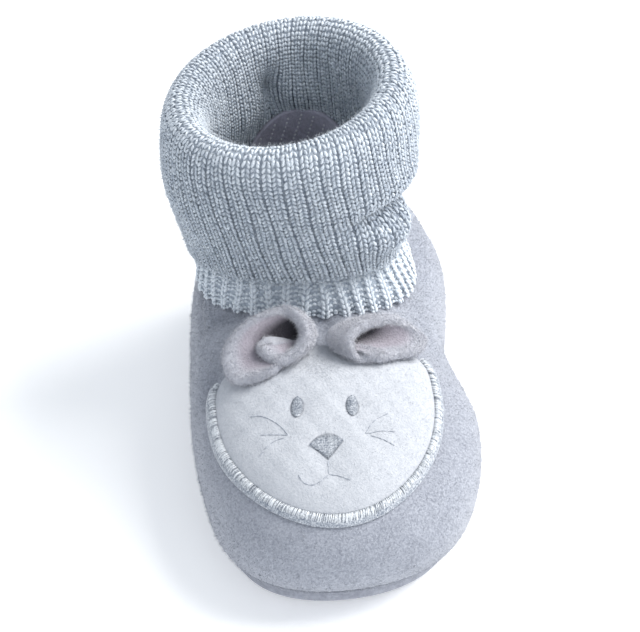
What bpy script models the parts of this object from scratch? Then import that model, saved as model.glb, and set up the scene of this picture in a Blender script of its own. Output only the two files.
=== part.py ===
"""Baby bootie slipper: a soft velour shoe with a rabbit's face on its vamp and a turned-down rib-knit cuff.

Frame: +Z up, toe towards -Y, heel towards +Y, +X to the outer side of the foot. The origin lies on the
floor under the middle of the sole. The tables and sizes below are in millimetres.
"""

import math

import bmesh
import bpy
import numpy as np
from mathutils import Vector

MM = 0.001
GAP = 0.3

# Driving sizes of the shoe.
UPPER_WALL = 2.2
KNIT_WALL = 2.2
SOLE_THICK = 4.0
SOLE_ROUND = 3.0
SOLE_INSET = 0.2
INSOLE_THICK = 1.8
INSOLE_ROUND = 0.5
INSOLE_INSET = 2.9
TOE_SPRING = 2.6
SPRING_START_Y = -32.0
TOE_TIP_Y = -64.4

# How finely the solids are faceted.
TURNS = 56
UPPER_RISES = 14
KNIT_STEPS = 18
SLAB_TURNS = 48
SLAB_SHARES = (0.45, 0.72, 0.88)
FACE_TURNS = 40
FACE_TOP_SHARES = (0.12, 0.4, 0.65, 0.85, 0.95, 1.0)
FACE_BACK_SHARES = (1.0, 0.8, 0.6, 0.36, 0.12)
BORDER_STEPS = 40
EAR_ALONG_STEPS = 7
EAR_ACROSS_STEPS = 17

# The upper, one row for each level from the sole seam to the collar seam. Each level is one loop round
# the foot: where it crosses the toe, the sides and the heel, and how its plan is shaped.
LEVEL_COLUMNS = (
    "toe_y", "toe_z", "heel_y", "heel_z", "side_z", "widest_y",
    "inner_half", "outer_half", "heel_taper", "squareness", "centre_x", "toe_x",
)
LEVELS = {
    "sole_seam": (-60.0, 4.3, 51.5, 4.3, 4.3, -16, 29.2, 28.6, 0.02, 0.035, 0.0, -3.2),
    "tuck":      (-63.4, 8.5, 55.0, 8.5, 8.5, -16, 32.2, 31.8, 0.02, 0.035, 0.0, -3.2),
    "widest":    (-64.4, 14.5, 56.5, 16.0, 16.0, -15, 33.2, 33.2, 0.02, 0.035, 0.0, -3.0),
    "toe_crown": (-61.8, 22.0, 56.5, 25.5, 23.6, -13, 32.6, 32.9, 0.01, 0.030, 0.0, -2.6),
    "cap":       (-53.6, 29.0, 55.4, 33.0, 28.4, -8, 30.8, 31.1, 0.00, 0.025, -0.2, -2.0),
    "vamp":      (-38.6, 33.6, 53.6, 38.5, 31.0, 0, 28.2, 28.7, 0.00, 0.025, -0.7, -1.4),
    "instep":    (-22.8, 36.6, 51.4, 42.0, 32.8, 8, 26.3, 26.4, 0.00, 0.025, -1.8, -0.8),
    "throat":    (-9.5, 38.4, 49.6, 44.0, 34.2, 13, 24.6, 24.6, 0.00, 0.020, -3.0, -0.4),
    "collar":    (-2.3, 40.2, 48.2, 45.2, 35.6, 15.5, 23.2, 23.2, 0.00, 0.010, -3.9, -0.4),
}

# Where the soft sides draw in or swell: which side, how far along the foot, over what spread, how far
# out, and at which rise over what spread of rise.
SWELL_COLUMNS = ("side", "y", "spread", "out", "rise", "rise_spread")
SIDE_SWELLS = {
    "outer_waist":    (1, -4, 17, -5.8, 0.38, 0.40),
    "outer_heel":     (1, 36, 16, 5.2, 0.38, 0.40),
    "outer_shoulder": (1, 41, 13, 5.0, 0.74, 0.18),
    "inner_waist":    (-1, 6, 18, -1.2, 0.38, 0.40),
}

# The knit tube stands on the collar seam, rises to the crest, rolls outwards and hangs down again. One
# row for each place along the knit: its share of the way from seam to crest, and how far out it stands.
KNIT_COLUMNS = ("share", "out")
KNIT_FOLD = {
    "collar_seam": (0.00, -1.1),
    "band":        (0.10, -1.5),
    "tube_low":    (0.26, -2.4),
    "tube_middle": (0.48, -3.6),
    "tube_high":   (0.70, -4.2),
    "roll_inner":  (0.87, -4.0),
    "roll_rise":   (0.965, -2.4),
    "crest":       (1.00, 0.0),
    "roll_fall":   (0.965, 2.0),
    "roll_outer":  (0.87, 3.2),
    "fold_full":   (0.68, 3.3),
    "fold_middle": (0.50, 2.6),
    "fold_low":    (0.32, 1.6),
    "fold_edge":   (0.19, 0.9),
}
KNIT_START = 0.008
TURNED_DOWN = 0.6
CREST_CENTRE = (-6.2, 22.8, 83.8)
CREST_HALF = (24.4, 24.4)
CREST_TILT = math.radians(10)

# Dents and swells of the soft fold: where round the cuff and along the knit, how wide, and how far out.
DENT_COLUMNS = ("turn_deg", "share", "turn_width", "share_width", "out")
FOLD_DENTS = {
    "outer_pinch": (84, 0.50, 34, 0.13, -1.9),
    "outer_lobe":  (84, 0.76, 34, 0.14, 0.9),
    "inner_swell": (275, 0.62, 40, 0.24, 1.4),
}

# Where the turned-down edge is drawn up, over what width, as a share of the knit's height.
HEM_COLUMNS = ("turn_deg", "turn_width", "lift")
HEM_LIFTS = {
    "outer": (62, 34, 0.05),
    "inner": (300, 30, 0.03),
}

# The rabbit's face, a plush patch on the vamp: its plan is half an ellipse towards the toe and a squarer
# half towards the collar. Its edge is thin and its middle puffed.
FACE_CENTRE = (-3.5, -27.0)
FACE_HALF_WIDTH = 24.0
FACE_TO_TOE = 30.2
FACE_TO_COLLAR = 12.8
FACE_TOP_POWER = 4.0
FACE_EDGE = 1.0
FACE_PUFF = 2.4
FACE_EDGE_ROUND = 0.08

# The stitched band round the patch, open at the top where the ears stand, and its half-round section:
# the share of its width and of its height at each point.
BORDER_WIDTH = 2.0
BORDER_HEIGHT = 1.0
BORDER_ENDS = (-22, 202)
BORDER_SECTION = ((0, 0), (0, 0.55), (0.25, 0.92), (0.5, 1), (0.75, 0.92), (1, 0.55), (1, 0))

# An ear is a sheet curled into a cornet that opens from a narrow root between the ears. One row for each
# place round its rim: how far it stands outwards from the root and ahead of it, and how high on the vamp.
EAR_WALL = 1.6
EAR_ROOT_RADIUS = 1.5
EAR_ROOT_HIGH = 2.8
EAR_CURL = math.radians(160)
EAR_CLEARANCE = 0.54
EAR_COLUMNS = ("out", "ahead", "high")
EARS = {
    "ear_inner": {
        "inner_lip": (8.1, 2.9, 3.2),
        "front_lip": (4.0, 5.6, 2.8),
        "brow":      (0.8, 2.8, 7.1),
        "crown":     (4.8, -3.2, 8.9),
        "back":      (12.8, -2.2, 9.4),
        "tail":      (19.2, 2.6, 7.8),
        "hem":       (17.3, 9.4, 3.4),
    },
    "ear_outer": {
        "inner_lip": (10.8, 4.5, 3.2),
        "front_lip": (7.4, 7.3, 2.8),
        "brow":      (4.6, 4.7, 6.3),
        "crown":     (9.5, 0.0, 7.6),
        "back":      (17.4, -2.0, 8.3),
        "tail":      (21.2, 1.4, 6.5),
        "hem":       (16.1, 5.9, 3.1),
    },
}
EAR_SIDES = {"ear_inner": -1, "ear_outer": 1}
EAR_ROOTS = {"ear_inner": (-6.3, -13.9), "ear_outer": (-0.5, -14.5)}


def named(table, columns):
    """Each row of a table as values by column name."""
    return [dict(zip(columns, row)) for row in table.values()]


def along_table(table, columns, shares):
    """Values by column name at fractional places down a table, 0 its first row and 1 its last, on
    Catmull-Rom curves through the rows."""
    rows = np.array(list(table.values()), float)
    padded = np.vstack([2 * rows[0] - rows[1], rows, 2 * rows[-1] - rows[-2]])
    place = np.clip(np.asarray(shares, float), 0, 1) * (len(rows) - 1)
    first = np.minimum(place.astype(int), len(rows) - 2)
    t = (place - first)[..., None]
    a, b, c, d = (padded[first + i] for i in range(4))
    smooth = 2 * b + (c - a) * t + (2 * a - 5 * b + 4 * c - d) * t**2 + (3 * b - a - 3 * c + d) * t**3
    return dict(zip(columns, np.moveaxis(0.5 * smooth, -1, 0)))


def turn_away(turn, turn_deg, turn_width):
    """How far a turn lies from a place round the shoe, in widths."""
    return np.angle(np.exp(1j * (turn - math.radians(turn_deg)))) / math.radians(turn_width)


def toe_spring(y):
    """How far the sole has lifted off the floor at y, towards the toe."""
    share = np.clip((SPRING_START_Y - y) / (SPRING_START_Y - TOE_TIP_Y), 0, None)
    return TOE_SPRING * share**2


def upper_point(turn, rise):
    """The upper's outer face. turn goes round the foot from the toe over the outer side, in radians, and
    rise goes from 0 at the sole seam to 1 at the collar seam."""
    turn, rise = np.broadcast_arrays(np.asarray(turn, float), np.asarray(rise, float))
    level = along_table(LEVELS, LEVEL_COLUMNS, rise)
    c, s = np.cos(turn), np.sin(turn)
    square = level["squareness"]
    along = (c - square * np.cos(3 * turn)) / (1 - square)
    across = (s + square * np.sin(3 * turn)) / (1 - square)
    reach = np.where(c > 0, level["widest_y"] - level["toe_y"], level["heel_y"] - level["widest_y"])
    y = level["widest_y"] - along * reach
    back = np.clip(-along, 0, 1)
    front = np.clip(along, 0, 1)
    outer = (1 + s) / 2
    half = level["inner_half"] * (1 - outer) + level["outer_half"] * outer
    x = across * half * (1 - level["heel_taper"] * back**2)
    for swell in named(SIDE_SWELLS, SWELL_COLUMNS):
        far, high = (y - swell["y"]) / swell["spread"], (rise - swell["rise"]) / swell["rise_spread"]
        on_side = np.clip(swell["side"] * s, 0, 1) ** 2
        x = x + swell["side"] * swell["out"] * on_side * np.exp(-(far**2) - high**2)
    x = x + level["centre_x"] + (level["toe_x"] - level["centre_x"]) * front**2
    z = level["side_z"] + (level["toe_z"] - level["side_z"]) * front**2
    z = z + (level["heel_z"] - level["side_z"]) * back**2 + toe_spring(y) * (1 - rise) ** 2
    return np.stack([x, y, z], axis=-1)


def upper_normal(turn, rise, step=1e-4):
    """The direction straight out of the upper."""
    round_it = upper_point(turn + step, rise) - upper_point(turn - step, rise)
    up_it = upper_point(turn, rise + step) - upper_point(turn, rise - step)
    normal = np.cross(round_it, up_it)
    return normal / np.linalg.norm(normal, axis=-1, keepdims=True)


def vamp_place(x, y, rounds=12, step=1e-4):
    """The turn and rise at which the upper lies over a plan point of the vamp, by Newton's method."""
    x, y = np.broadcast_arrays(np.asarray(x, float), np.asarray(y, float))
    turn, rise = np.arctan2(x, 12 - y), np.full(x.shape, 0.7)
    for _ in range(rounds):
        here = upper_point(turn, rise)[..., :2]
        by_turn = (upper_point(turn + step, rise)[..., :2] - here) / step
        by_rise = (upper_point(turn, rise + step)[..., :2] - here) / step
        miss = np.stack([x, y], axis=-1) - here
        area = by_turn[..., 0] * by_rise[..., 1] - by_turn[..., 1] * by_rise[..., 0]
        turn_step = (miss[..., 0] * by_rise[..., 1] - miss[..., 1] * by_rise[..., 0]) / area
        rise_step = (by_turn[..., 0] * miss[..., 1] - by_turn[..., 1] * miss[..., 0]) / area
        turn = turn + np.clip(turn_step, -0.3, 0.3)
        rise = np.clip(rise + np.clip(rise_step, -0.1, 0.1), 0.2, 0.999)
    return turn, rise


def vamp_point(x, y, height):
    """A point at a height straight out from the vamp, over the plan point x, y of the vamp itself."""
    turn, rise = vamp_place(x, y)
    return upper_point(turn, rise) + upper_normal(turn, rise) * np.asarray(height, float)[..., None]


def crest_point(turn):
    """The top of the knit's roll, a ring that leans to the inner side."""
    turn = np.asarray(turn, float)
    x, y = CREST_HALF[0] * np.sin(turn), -CREST_HALF[1] * np.cos(turn)
    ring = np.stack([x * math.cos(CREST_TILT), y, x * math.sin(CREST_TILT)], axis=-1)
    return np.array(CREST_CENTRE) + ring


def knit_point(turn, along):
    """The middle of the knit's wall. along goes from 0 at the collar seam over the crest to 1 at the
    turned-down edge."""
    turn, along = np.broadcast_arrays(np.asarray(turn, float), np.asarray(along, float))
    knit = along_table(KNIT_FOLD, KNIT_COLUMNS, along)
    share, out = knit["share"], knit["out"]
    turned_down = np.where(along > TURNED_DOWN, 1.0, 0.0)
    for hem in named(HEM_LIFTS, HEM_COLUMNS):
        away = turn_away(turn, hem["turn_deg"], hem["turn_width"])
        share = share + turned_down * hem["lift"] * np.exp(-(away**2)) * (1 - share)
    for dent in named(FOLD_DENTS, DENT_COLUMNS):
        away = turn_away(turn, dent["turn_deg"], dent["turn_width"])
        high = (share - dent["share"]) / dent["share_width"]
        out = out + turned_down * dent["out"] * np.exp(-(away**2) - high**2)
    seam, crest = upper_point(turn, 1.0), crest_point(turn)
    outward = np.stack([np.sin(turn), -np.cos(turn), 0 * turn], axis=-1)
    return seam + (crest - seam) * share[..., None] + outward * out[..., None]


def face_share(x, y):
    """How far out on the patch a plan point lies: 0 at its centre, 1 on its edge."""
    across, along = np.abs(x - FACE_CENTRE[0]) / FACE_HALF_WIDTH, y - FACE_CENTRE[1]
    to_toe = np.hypot(across, along / FACE_TO_TOE)
    power = FACE_TOP_POWER
    to_collar = (across**power + np.abs(along / FACE_TO_COLLAR) ** power) ** (1 / power)
    return np.where(along < 0, to_toe, to_collar)


def face_top(share):
    """How far the patch's top stands off the vamp: puffed in the middle, rounded down at its edge."""
    puff = FACE_EDGE + (FACE_PUFF - FACE_EDGE) * np.clip(1 - share**2, 0, 1)
    return GAP + puff * np.clip((1.02 - share) / FACE_EDGE_ROUND, 0.35, 1)


def face_outline(angle, outset=0.0):
    """The patch's edge in plan, moved outwards by the outset. The angle runs from the outer side, 0,
    over the toe, 90 degrees, to the inner side."""
    def edge(angle):
        x, y = np.cos(angle), -np.sin(angle)
        share = face_share(FACE_CENTRE[0] + x, FACE_CENTRE[1] + y)
        return np.stack([FACE_CENTRE[0] + x / share, FACE_CENTRE[1] + y / share], axis=-1)
    ahead = edge(angle + 1e-3) - edge(angle - 1e-3)
    ahead = ahead / np.linalg.norm(ahead, axis=-1, keepdims=True)
    outward = np.stack([-ahead[..., 1], ahead[..., 0]], axis=-1)
    return edge(angle) + outward * np.asarray(outset, float)[..., None]


def rest_on_vamp(point, half_wall, softness=0.8):
    """Raises what would sink into the vamp or the patch so that it lies on them, softly."""
    x, y, z = np.moveaxis(point, -1, 0)
    turn, rise = vamp_place(x, y)
    under, slope = upper_point(turn, rise)[..., 2], upper_normal(turn, rise)[..., 2]
    share = face_share(x, y)
    on_patch = np.clip((1.25 - share) / 0.2, 0, 1)
    clear = EAR_CLEARANCE + half_wall + face_top(np.minimum(share, 1 - FACE_EDGE_ROUND)) * on_patch
    floor = under + clear / np.clip(slope, 0.5, 1)
    raised = 0.5 * (z + floor + np.sqrt((z - floor) ** 2 + softness**2))
    return np.stack([x, y, raised], axis=-1)


def ear_point(name, along, across):
    """The middle of an ear's sheet. along goes from 0 at the root to 1 at the rim, and across from 0 at
    the inner lip over the crown to 1 at the hem, where the sheet lies on the patch. The rim's middle is
    carried straight out from the root, and the rim opens round it faster at first, as a bell does."""
    side, root = EAR_SIDES[name], EAR_ROOTS[name]
    rim_place = along_table(EARS[name], EAR_COLUMNS, across)
    rim = np.stack([rim_place[column] for column in EAR_COLUMNS], axis=-1)
    middle = np.mean(list(EARS[name].values()), axis=0)
    around = EAR_CURL * (1 - 2 * across)
    ring = EAR_ROOT_RADIUS * np.stack([0 * around, np.sin(around), np.cos(around)], axis=-1)
    along = np.asarray(along, float)[..., None]
    opened = along**0.6
    place = middle * along + (rim - middle) * opened + ring * (1 - opened)
    x, y = root[0] + side * place[..., 0], root[1] - place[..., 1]
    high = place[..., 2] + EAR_ROOT_HIGH * (1 - along[..., 0])
    under = upper_point(*vamp_place(x, y))[..., 2]
    return rest_on_vamp(np.stack([x, y, under + high], axis=-1), EAR_WALL / 2)


def turns(count=TURNS):
    """Even turns round the shoe, in radians."""
    return np.arange(count) * 2 * math.pi / count


def new_object(name, mesh, colour, roughness):
    """An object of its own for one sub-part, with a plain material of its colour."""
    obj = bpy.data.objects.new(name, mesh)
    bpy.context.scene.collection.objects.link(obj)
    material = bpy.data.materials.new(name)
    material.use_nodes = True
    shader = material.node_tree.nodes["Principled BSDF"]
    shader.inputs["Base Color"].default_value = (*colour, 1)
    shader.inputs["Roughness"].default_value = roughness
    mesh.materials.append(material)
    mesh.shade_smooth()
    return obj


def finished_mesh(name, bm):
    """The bmesh as a mesh, with its faces turned outwards."""
    bmesh.ops.recalc_face_normals(bm, faces=bm.faces)
    mesh = bpy.data.meshes.new(name)
    bm.to_mesh(mesh)
    bm.free()
    return mesh


def loft(name, rings, cap_ends=False):
    """A skin over a stack of closed rings, bridged one to the next, in millimetres."""
    bm = bmesh.new()
    loops = []
    for ring in rings:
        verts = [bm.verts.new(Vector(p) * MM) for p in ring]
        loops.append([bm.edges.new((verts[i - 1], verts[i])) for i in range(len(verts))])
    for lower, upper in zip(loops, loops[1:]):
        bmesh.ops.bridge_loops(bm, edges=lower + upper)
    if cap_ends:
        for loop in (loops[0], loops[-1]):
            bmesh.ops.triangle_fill(bm, use_beauty=True, edges=loop)
    return finished_mesh(name, bm)


def sheet(name, rows):
    """An open skin over a grid of points, in millimetres."""
    bm = bmesh.new()
    grid = [[bm.verts.new(Vector(p) * MM) for p in row] for row in rows]
    for lower, upper in zip(grid, grid[1:]):
        for i in range(len(lower) - 1):
            bm.faces.new((lower[i], lower[i + 1], upper[i + 1], upper[i]))
    return finished_mesh(name, bm)


def thicken(obj, wall, offset, even=True):
    """Gives a skin its wall: offset -1 puts it behind the face, 0 on both sides of it. An even wall keeps
    its thickness at corners."""
    solidify = obj.modifiers.new("wall", "SOLIDIFY")
    solidify.thickness = wall * MM
    solidify.offset = offset
    solidify.use_even_offset = even
    return obj


def slab(name, inset, bottom, thickness, rounding, colour):
    """A layer under the foot: its plan is the sole seam drawn in, its lower edge is rounded, and both
    its faces follow the toe spring."""
    seam = upper_point(turns(SLAB_TURNS), 0.0)[:, :2]
    ahead = np.roll(seam, -1, axis=0) - np.roll(seam, 1, axis=0)
    outward = np.stack([ahead[:, 1], -ahead[:, 0]], axis=-1) / np.linalg.norm(ahead, axis=-1, keepdims=True)
    top, bevel = bottom + thickness, 0.4
    profile = [(share, rounding, bottom) for share in SLAB_SHARES]
    for angle in np.radians([0, 40, 90]):
        drawn_in, lifted = rounding * (1 - math.sin(angle)), 0.7 * rounding * (1 - math.cos(angle))
        profile.append((1, drawn_in, bottom + lifted))
    profile += [(1, 0, top - bevel), (1, bevel, top)]
    profile += [(share, bevel, top) for share in reversed(SLAB_SHARES)]
    rings = []
    for share, drawn_in, height in profile:
        plan = (seam - outward * (inset + drawn_in)) * share
        rings.append(np.column_stack([plan, height + toe_spring(plan[:, 1])]))
    return new_object(name, loft(name, rings, cap_ends=True), colour, 0.95)


def build_upper():
    rings = [upper_point(turns(), rise) for rise in np.linspace(0, 1, UPPER_RISES)]
    obj = new_object("upper", loft("upper", rings), (0.42, 0.43, 0.49), 0.95)
    return thicken(obj, UPPER_WALL, -1)


def build_cuff():
    rings = [knit_point(turns(), along) for along in np.linspace(KNIT_START, 1, KNIT_STEPS)]
    obj = new_object("cuff", loft("cuff", rings), (0.52, 0.57, 0.62), 0.95)
    return thicken(obj, KNIT_WALL, 0)


def build_sole():
    return slab("sole", SOLE_INSET, 0.0, SOLE_THICK, SOLE_ROUND, (0.38, 0.39, 0.44))


def build_insole():
    colour = (0.20, 0.20, 0.24)
    return slab("insole", INSOLE_INSET, SOLE_THICK + GAP, INSOLE_THICK, INSOLE_ROUND, colour)


def build_face():
    edge = face_outline(turns(FACE_TURNS))
    heights = [(share, face_top(share)) for share in FACE_TOP_SHARES]
    heights += [(share, GAP) for share in FACE_BACK_SHARES]
    rings = []
    for share, height in heights:
        plan = np.array(FACE_CENTRE) + share * (edge - FACE_CENTRE)
        rings.append(vamp_point(plan[:, 0], plan[:, 1], np.full(len(plan), height)))
    return new_object("face", loft("face", rings, cap_ends=True), (0.78, 0.81, 0.84), 0.95)


def build_border():
    start, end = np.radians(BORDER_ENDS)
    across, high = np.array(BORDER_SECTION, float).T
    rings = []
    for angle in np.linspace(start, end, BORDER_STEPS):
        plan = face_outline(np.full(len(across), angle), GAP + BORDER_WIDTH * across)
        rings.append(vamp_point(plan[:, 0], plan[:, 1], GAP + BORDER_HEIGHT * high))
    return new_object("face_border", loft("face_border", rings, cap_ends=True), (0.55, 0.59, 0.65), 0.6)


def build_ear(name):
    along, across = np.meshgrid(
        np.linspace(0, 1, EAR_ALONG_STEPS), np.linspace(0, 1, EAR_ACROSS_STEPS), indexing="ij"
    )
    rows = ear_point(name, along, across)
    obj = new_object(name, sheet(name, rows), (0.50, 0.50, 0.56), 0.95)
    return thicken(obj, EAR_WALL, 0, even=False)


for old in list(bpy.data.objects):
    bpy.data.objects.remove(old)
build_upper()
build_cuff()
build_sole()
build_insole()
build_face()
build_border()
for ear in EARS:
    build_ear(ear)
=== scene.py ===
# %% [markdown]
# # A baby's bootie slipper
# A bootie is cut and sewn from soft cloth: a velour upper with a rabbit's face on the vamp, a fabric sole,
# and a rib-knit cuff that is turned down over itself. The packed model gives each piece's place and size
# as plain solids. This script dresses them: every cloth gets its own surface, its own stitches and its own
# nap, worked out from the same sizes as the solids, so that each piece lies where its solid does.

# %% Load the frame
import math
import bpy
import numpy as np
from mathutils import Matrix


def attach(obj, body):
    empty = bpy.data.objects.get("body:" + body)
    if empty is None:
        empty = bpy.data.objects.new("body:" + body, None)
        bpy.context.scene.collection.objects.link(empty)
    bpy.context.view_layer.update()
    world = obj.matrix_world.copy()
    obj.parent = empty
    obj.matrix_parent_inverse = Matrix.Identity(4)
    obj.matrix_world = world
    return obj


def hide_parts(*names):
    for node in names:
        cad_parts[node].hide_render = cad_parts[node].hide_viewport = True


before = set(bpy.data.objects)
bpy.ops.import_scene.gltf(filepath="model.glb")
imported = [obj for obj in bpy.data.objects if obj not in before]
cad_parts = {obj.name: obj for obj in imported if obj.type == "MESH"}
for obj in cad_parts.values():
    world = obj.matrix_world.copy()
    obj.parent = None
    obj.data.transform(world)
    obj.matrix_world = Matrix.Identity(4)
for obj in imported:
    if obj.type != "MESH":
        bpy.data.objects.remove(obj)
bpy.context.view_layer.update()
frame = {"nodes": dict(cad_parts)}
MM = 0.001
random = np.random.default_rng(7)
print("solids:", ", ".join(frame["nodes"]))

# %% [markdown]
# ## The camera
# The photograph looks down at the toe of the shoe from in front, 40 degrees above the floor and a little
# from the inner side, with a long lens that hardly narrows towards the heel. The camera is placed by those
# angles, and slid sideways in its own picture so that the one shoe stands in the middle of the frame.

# %% Place the camera
LOOK_AZIMUTH = math.radians(-7)
LOOK_ELEVATION = math.radians(40)
LOOK_DISTANCE = 600.0
LOOK_TARGET = np.array([0, 0, 38.0])
TARGET_IN_FRAME = (6, 10)
PIXELS_PER_MM = 4.35
FRAME_WIDTH = 640
SENSOR_WIDTH = 36.0

flat = math.cos(LOOK_ELEVATION)
look_back = np.array([
    math.sin(LOOK_AZIMUTH) * flat, -math.cos(LOOK_AZIMUTH) * flat, math.sin(LOOK_ELEVATION)
])
look_right = np.array([math.cos(LOOK_AZIMUTH), math.sin(LOOK_AZIMUTH), 0])
look_up = np.cross(look_back, look_right)
eye = LOOK_TARGET + look_back * LOOK_DISTANCE
eye = eye - (look_right * TARGET_IN_FRAME[0] + look_up * TARGET_IN_FRAME[1]) / PIXELS_PER_MM

camera = bpy.data.objects.new("camera", bpy.data.cameras.new("camera"))
bpy.context.scene.collection.objects.link(camera)
bpy.context.scene.camera = camera
camera.location = eye * MM
camera.rotation_euler = (math.pi / 2 - LOOK_ELEVATION, 0, LOOK_AZIMUTH)
camera.data.sensor_width = SENSOR_WIDTH
camera.data.lens = SENSOR_WIDTH * PIXELS_PER_MM * LOOK_DISTANCE / FRAME_WIDTH
camera.data.clip_start = 0.01
print(f"lens {camera.data.lens:.1f} mm")

# %% [markdown]
# ## Shader maths and finishes
# A finish is a small network of nodes. Written node by node it is hard to read, so a wire from one node to
# the next is wrapped in a class that can be added and multiplied as a number can: each sum adds the Math
# node that does it. Every cloth here has the same skeleton: a colour that drifts in soft patches and
# freckles with the fibres, a fine bump for the nap, and a sheen that brightens it where it turns away.

# %% Wires
class Wire:
    """A shader socket that takes part in sums: each operation adds its Math node."""

    def __init__(self, finish, socket):
        self.finish = finish
        self.socket = socket

    def maths(self, operation, first, second):
        return self.finish.node("Math", {"operation": operation}, {0: first, 1: second})

    def __add__(self, other):
        return self.maths("ADD", self, other)

    def __mul__(self, other):
        return self.maths("MULTIPLY", self, other)


print("wires can be added to and multiplied by numbers and wires")

# %% [markdown]
# A finish wraps one Principled shader. Its plain sockets are set by name when it is made, and only its
# colour and its bump are fed by wires.

# %% Finishes
class Finish:
    """A material with one Principled shader, whose constant sockets are set by name."""

    def __init__(self, name, **constants):
        self.material = bpy.data.materials.new(name)
        self.material.use_nodes = True
        self.tree = self.material.node_tree
        self.shader = self.tree.nodes["Principled BSDF"]
        for key, value in constants.items():
            self.shader.inputs[key.replace("_", " ")].default_value = value

    def join(self, value, socket):
        if isinstance(value, Wire):
            self.tree.links.new(value.socket, socket)
        else:
            socket.default_value = value

    def node(self, kind, settings, sockets, output=0):
        node = self.tree.nodes.new("ShaderNode" + kind)
        for key, value in settings.items():
            setattr(node, key, value)
        for key, value in sockets.items():
            self.join(value, node.inputs[key])
        return Wire(self, node.outputs[output])

    def place(self):
        return self.node("TexCoord", {}, {}, output=3)

    def value(self, attribute):
        """What a piece's mesh holds at each point under that name."""
        return self.node("Attribute", {"attribute_name": attribute}, {}, output=2)

    def noise(self, size_mm, detail=2.0, rough=0.5):
        """Noise from about 0 to 1 in patches of that size."""
        sockets = {"Vector": self.place(), "Scale": 1 / (size_mm * MM), "Detail": detail, "Roughness": rough}
        return self.node("TexNoise", {}, sockets)

    def span(self, wire, low, high):
        """The wire's stretch from low to high, carried to 0 to 1 and held at its ends."""
        return self.node("MapRange", {}, {0: wire, 1: low, 2: high})

    def mix(self, share, first, second):
        return self.node("Mix", {"data_type": "RGBA"}, {0: share, 6: first, 7: second}, output=2)

    def two_tone(self, wire, low, high, dark, light):
        """The dark colour below one value of the wire, the light one above another, a mix between."""
        return self.mix(self.span(wire, low, high), paint(*dark), paint(*light))

    def bump(self, height, depth_mm):
        sockets = {"Strength": 1.0, "Distance": depth_mm * MM, "Height": height}
        self.join(self.node("Bump", {}, sockets), self.shader.inputs["Normal"])

    def colour(self, wire):
        self.join(wire, self.shader.inputs["Base Color"])


print("finish settings:", ", ".join(name for name in vars(Finish) if name[0] != "_"))

# %% [markdown]
# Colours are given as a picture holds them, from 0 to 255, and a shader wants them as light. Most cloths
# differ only in their two colours and in the size of their grain, so one function makes them all.

# %% Paint and cloth
def paint(red, green, blue):
    """A picture's colour, 0 to 255, as the light that a shader reckons with."""
    share = np.array([red, green, blue]) / 255
    linear = np.where(share > 0.04045, ((share + 0.055) / 1.055) ** 2.4, share / 12.92)
    return (*linear.tolist(), 1.0)


def cloth(name, light, dark, patch_mm, fleck_mm, nap_mm, sheen=0.25, roughness=0.95):
    """A napped cloth: soft patches, freckles of fibre colour and a fine bump."""
    finish = Finish(name, Roughness=roughness, Sheen_Weight=sheen, Sheen_Roughness=0.4)
    freckles = finish.noise(fleck_mm, 3.0, 0.65)
    finish.colour(finish.two_tone(finish.noise(patch_mm) * 0.45 + freckles * 0.55, 0.36, 0.62, dark, light))
    finish.bump(freckles, nap_mm)
    return finish


print("half-way grey, as light:", round(paint(128, 128, 128)[0], 3))

# %% [markdown]
# ## Floor and light
# The shoe stands on a plain white floor. A large soft lamp on the right and above gives the bright outer
# side and the slow shading across the toe, and the sky fills the shaded side with weak, bluish light.

# %% Floor, lamp and sky
FLOOR_HALF = 4000.0
floor_mesh = bpy.data.meshes.new("floor")
corners = [(x * FLOOR_HALF * MM, y * FLOOR_HALF * MM, 0) for x, y in ((-1, -1), (1, -1), (1, 1), (-1, 1))]
floor_mesh.from_pydata(corners, [], [(0, 1, 2, 3)])
floor = bpy.data.objects.new("floor", floor_mesh)
bpy.context.scene.collection.objects.link(floor)
floor_finish = Finish(
    "floor", Roughness=0.9, Specular_IOR_Level=0.1, Emission_Color=(1, 1, 1, 1), Emission_Strength=0.30
)
floor_finish.colour(
    floor_finish.two_tone(floor_finish.noise(90.0), 0.3, 0.7, (246, 247, 248), (250, 251, 252))
)
floor_mesh.materials.append(floor_finish.material)

LAMPS = {
    "key lamp": ((600, 60, 720), 640, 11.0, (1.0, 0.98, 0.95)),
    "front lamp": ((120, -760, 620), 620, 1.0, (0.95, 0.97, 1.0)),
}
for name, (place, size, watts, tint) in LAMPS.items():
    lamp = bpy.data.objects.new(name, bpy.data.lights.new(name, "AREA"))
    bpy.context.scene.collection.objects.link(lamp)
    lamp.location = np.array(place) * MM
    lamp.data.size = size * MM
    lamp.data.energy = watts
    lamp.data.color = tint
    lamp.rotation_euler = (floor.location - lamp.location).to_track_quat("-Z", "Y").to_euler()

bpy.context.scene.view_settings.view_transform = "Standard"
world = bpy.data.worlds.new("sky")
bpy.context.scene.world = world
world.use_nodes = True
sky = world.node_tree.nodes["Background"]
sky.inputs["Color"].default_value = (0.86, 0.92, 1.0, 1.0)
sky.inputs["Strength"].default_value = 0.60
print("lamps:", ", ".join(LAMPS))

# %% [markdown]
# ## Putting surfaces into meshes
# Each cloth is a sheet of points worked out at once as an array, row by row and column by column. Its
# faces only say which neighbours join, so they come from the numbering of the grid and need no modelling.
# Three small sums come back all through the script, so they have names: a vector brought to length 1, a
# bell, and a ramp from 0 to 1.

# %% Small sums
def unit(vectors):
    """The vectors, each brought to length 1."""
    return vectors / np.linalg.norm(vectors, axis=-1, keepdims=True)


def bell(*away):
    """1 in the middle, and next to nothing two widths away: each distance is given in widths."""
    return np.exp(-sum(far**2 for far in away))


def floats(*values):
    """The values as arrays of one common shape."""
    return np.broadcast_arrays(*(np.asarray(value, float) for value in values))


def stacked(*parts):
    """Numbers side by side in a new last axis, as the coordinates of points."""
    return np.stack(parts, axis=-1)


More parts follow.
